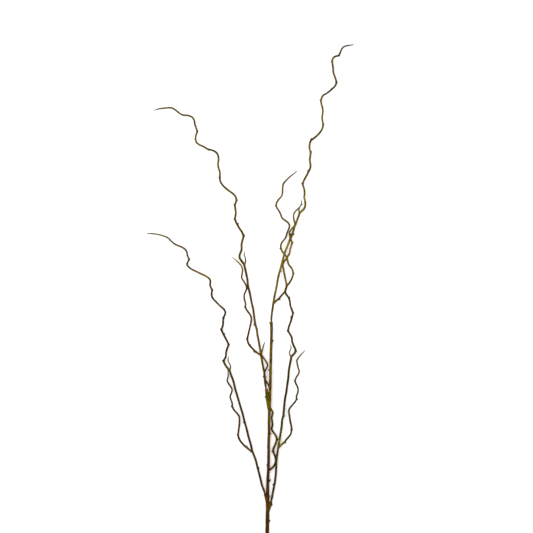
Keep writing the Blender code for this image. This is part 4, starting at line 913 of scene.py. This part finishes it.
topStem = {
    "stalk": [
        (0.01, 0.5965, 0.0211), (0.0097, 0.608, 0.0215), (0.0098, 0.618, 0.0218),
        (0.0112, 0.631, 0.0222), (0.013, 0.643, 0.0226), (0.0152, 0.658, 0.023),
        (0.0174, 0.672, 0.0233), (0.0208, 0.687, 0.0235), (0.0236, 0.701, 0.0235),
        (0.0258, 0.715, 0.0232), (0.029, 0.729, 0.0226), (0.0325, 0.741, 0.022),
        (0.0354, 0.7525, 0.0213), (0.0386, 0.764, 0.0207), (0.0418, 0.776, 0.0204),
        (0.0462, 0.7885, 0.0204), (0.0508, 0.7995, 0.0206), (0.0552, 0.8115, 0.0208),
        (0.0602, 0.823, 0.0212), (0.0642, 0.834, 0.0217), (0.0676, 0.846, 0.0224),
        (0.072, 0.857, 0.0232), (0.076, 0.868, 0.024), (0.0805, 0.879, 0.0247),
    ],
    "curl": [
        (0.0852, 0.8843, 0.025), (0.09, 0.8885, 0.0248), (0.0934, 0.895, 0.024),
        (0.0944, 0.903, 0.0226), (0.0936, 0.9105, 0.021), (0.0919, 0.919, 0.0193),
        (0.0925, 0.93, 0.0178), (0.0913, 0.94, 0.0171), (0.0885, 0.95, 0.017), (0.0896, 0.958, 0.0168),
        (0.0938, 0.9665, 0.0158), (0.0985, 0.9755, 0.0142), (0.1035, 0.985, 0.0122),
        (0.1072, 0.994, 0.0104), (0.107, 1.004, 0.0092), (0.1057, 1.0125, 0.009),
        (0.1068, 1.023, 0.0102), (0.1074, 1.032, 0.0112), (0.105, 1.0415, 0.0113),
        (0.1052, 1.052, 0.0101), (0.1088, 1.0615, 0.0081), (0.1175, 1.0685, 0.0059),
        (0.127, 1.077, 0.0038), (0.1345, 1.0865, 0.0026), (0.1382, 1.095, 0.0019),
        (0.1387, 1.103, 0.0019), (0.1374, 1.112, 0.0019), (0.1368, 1.12, 0.0023),
        (0.1384, 1.134, 0.0036), (0.1374, 1.144, 0.0052), (0.1344, 1.154, 0.0074),
        (0.1342, 1.1645, 0.0096), (0.1392, 1.1742, 0.0111), (0.1488, 1.1798, 0.0118),
        (0.1565, 1.186, 0.0117), (0.165, 1.1935, 0.0108), (0.1707, 1.201, 0.0093),
        (0.1718, 1.21, 0.0076), (0.1682, 1.222, 0.0061), (0.1645, 1.233, 0.0055), (0.164, 1.244, 0.006),
        (0.1622, 1.2555, 0.0074), (0.163, 1.266, 0.0093), (0.169, 1.2715, 0.0109),
        (0.178, 1.2745, 0.0119), (0.182, 1.282, 0.0121), (0.186, 1.291, 0.0115),
        (0.1925, 1.2967, 0.0107), (0.204, 1.2995, 0.0099), (0.215, 1.301, 0.0092),
    ],
    "twig": [
        (0.0145, 0.6535, 0.0229), (0.0195, 0.6585, 0.0223), (0.0245, 0.6628, 0.0214),
        (0.0294, 0.667, 0.0205), (0.0344, 0.673, 0.0198), (0.0395, 0.679, 0.0189),
        (0.044, 0.685, 0.018), (0.047, 0.693, 0.0179), (0.0473, 0.7, 0.0181), (0.0457, 0.71, 0.0188),
        (0.0437, 0.72, 0.0187), (0.0412, 0.732, 0.0185), (0.039, 0.743, 0.018), (0.0381, 0.751, 0.0176),
        (0.0408, 0.7575, 0.0176), (0.046, 0.7645, 0.018), (0.051, 0.772, 0.0184),
        (0.0552, 0.78, 0.0184), (0.0566, 0.789, 0.018), (0.0592, 0.798, 0.0173), (0.061, 0.806, 0.0166),
        (0.0585, 0.8135, 0.0161), (0.0558, 0.821, 0.016), (0.0546, 0.83, 0.0162),
        (0.0575, 0.836, 0.0166), (0.0625, 0.8425, 0.0172), (0.0672, 0.848, 0.0177),
        (0.0678, 0.856, 0.0183), (0.0655, 0.865, 0.0192), (0.0652, 0.875, 0.0204),
        (0.069, 0.8835, 0.0214), (0.0762, 0.8905, 0.0222), (0.083, 0.8985, 0.0228),
        (0.0878, 0.9015, 0.0231),
    ],
    "spur": [
        (0.0795, 0.8775, 0.0246), (0.0785, 0.885, 0.0256), (0.0796, 0.8925, 0.0267),
        (0.083, 0.899, 0.0274), (0.0851, 0.9055, 0.0273), (0.084, 0.913, 0.0266),
    ],
    "knobs": [
        (0.0345, 0.7345, 0.0018), (0.03, 0.6655, 0.0018), (0.0592, 0.827, 0.0024),
        (0.065, 0.827, 0.0022), (0.0625, 0.8055, 0.0013), (0.0865, 0.954, 0.0016),
        (0.1, 0.9862, 0.0018), (0.1097, 1.0325, 0.0017), (0.11, 1.0655, 0.0018),
        (0.1406, 1.103, 0.0014), (0.1322, 1.163, 0.0015), (0.1738, 1.206, 0.0013),
        (0.1602, 1.259, 0.0014), (0.18, 1.273, 0.0013), (0.16, 1.1925, 0.0012),
    ],
    "taper": [(0, 0.0021), (0.0135, 0.0021), (0.0195, 0.0027), (0.06, 0.0028), (0.29, 0.0027),
              (0.48, 0.0025), (0.56, 0.0023), (0.74, 0.0024), (0.795, 0.0017)],
    "twigRadii": (0.0026, 0.0015),
    "spurRadii": (0.0018, 0.0012),
    "colours": [(0, "yellowOlive"), (0.05, "yellowOlive"), (0.065, "straw"), (0.075, "straw"),
                (0.13, "straw"), (0.155, "paleStraw"), (0.21, "paleStraw"), (0.232, "yellowOlive"),
                (0.25, "straw"), (0.27, "paleStraw"), (0.295, "straw"), (0.305, "yellowGreen"),
                (0.33, "paleStraw"), (0.355, "paleStraw"), (0.37, "straw"), (0.41, "tan"),
                (0.44, "straw"), (0.5, "yellowOlive"), (0.56, "straw"), (0.6, "straw"),
                (0.625, "olive"), (0.66, "olive"), (0.68, "straw"), (0.72, "straw"), (0.74, "olive"),
                (0.79, "brown")],
    "twigColours": [(0, "tan"), (0.01, "straw"), (0.018, "tan"), (0.04, "straw"), (0.07, "paleTan"),
                    (0.09, "straw"), (0.13, "straw"), (0.16, "paleTan"), (0.19, "paleTan"),
                    (0.25, "paleTan"), (0.28, "greyTip")],
    "spurColours": [(0, "straw"), (0.01, "straw"), (0.04, "greyTip")],
}
growSide("topStem", topStem, "top_stem", seed=41.0)

studio = {
    "floorSize": 8.0,
    "floorColour": (0.94, 0.94, 0.94, 1),
    "floorRough": 0.9,
    "floorSpecular": 0.1,
    "lens": 200,
    "sensor": 36,
    "viewWidth": 1.3325,  # what the photograph's frame takes in
    "viewCentre": (0.04057, 0.09490, 0.014),
    "world": (1.0, 1.0, 1.0, 1),
    "worldStrength": 1.05,
    "lampSize": 1.6,
    "keyStrength": 42,
    "lamps": (("key", (-0.8, 0.6, 2.8), 1.0), ("fill", (0.9, -0.4, 2.8), 0.3)),  # share of keyStrength
}


def makeFloor(look):
    bm = bmesh.new()
    bmesh.ops.create_grid(bm, x_segments=1, y_segments=1, size=look["floorSize"] / 2)
    mesh = bpy.data.meshes.new("floor")
    bm.to_mesh(mesh)
    bm.free()
    floor = addObject("floor", mesh)
    material, shader = newMaterial("palePaper")
    plug(material, shader, {"Base Color": look["floorColour"], "Roughness": look["floorRough"],
                            "Specular IOR Level": look["floorSpecular"]})
    mesh.materials.append(material)


def makeLights(look):
    world = bpy.data.worlds.new("studio")
    bpy.context.scene.world = world
    world.use_nodes = True
    sky = world.node_tree.nodes["Background"]
    sky.inputs["Color"].default_value = look["world"]
    sky.inputs["Strength"].default_value = look["worldStrength"]
    for name, place, share in look["lamps"]:
        lamp = bpy.data.lights.new(name, "AREA")
        lamp.energy = look["keyStrength"] * share
        lamp.size = look["lampSize"]
        light = addObject(name, lamp)
        light.location = place
        light.rotation_mode = "QUATERNION"
        light.rotation_quaternion = Vector(place).to_track_quat("Z", "Y")


def makeCamera(look):
    # straight above the middle of the photograph's frame
    data = bpy.data.cameras.new("camera")
    data.lens = look["lens"]
    data.sensor_width = look["sensor"]
    x, y, z = look["viewCentre"]
    height = look["viewWidth"] * look["lens"] / data.sensor_width
    data.clip_end = height * 4  # well past the floor
    camera = addObject("camera", data)
    camera.location = (x, y, z + height)
    bpy.context.scene.camera = camera


makeFloor(studio)
makeLights(studio)
makeCamera(studio)
bpy.context.scene.view_settings.view_transform = "Standard"  # colours come out as painted
print("studio is lit")

bpy.context.view_layer.update()
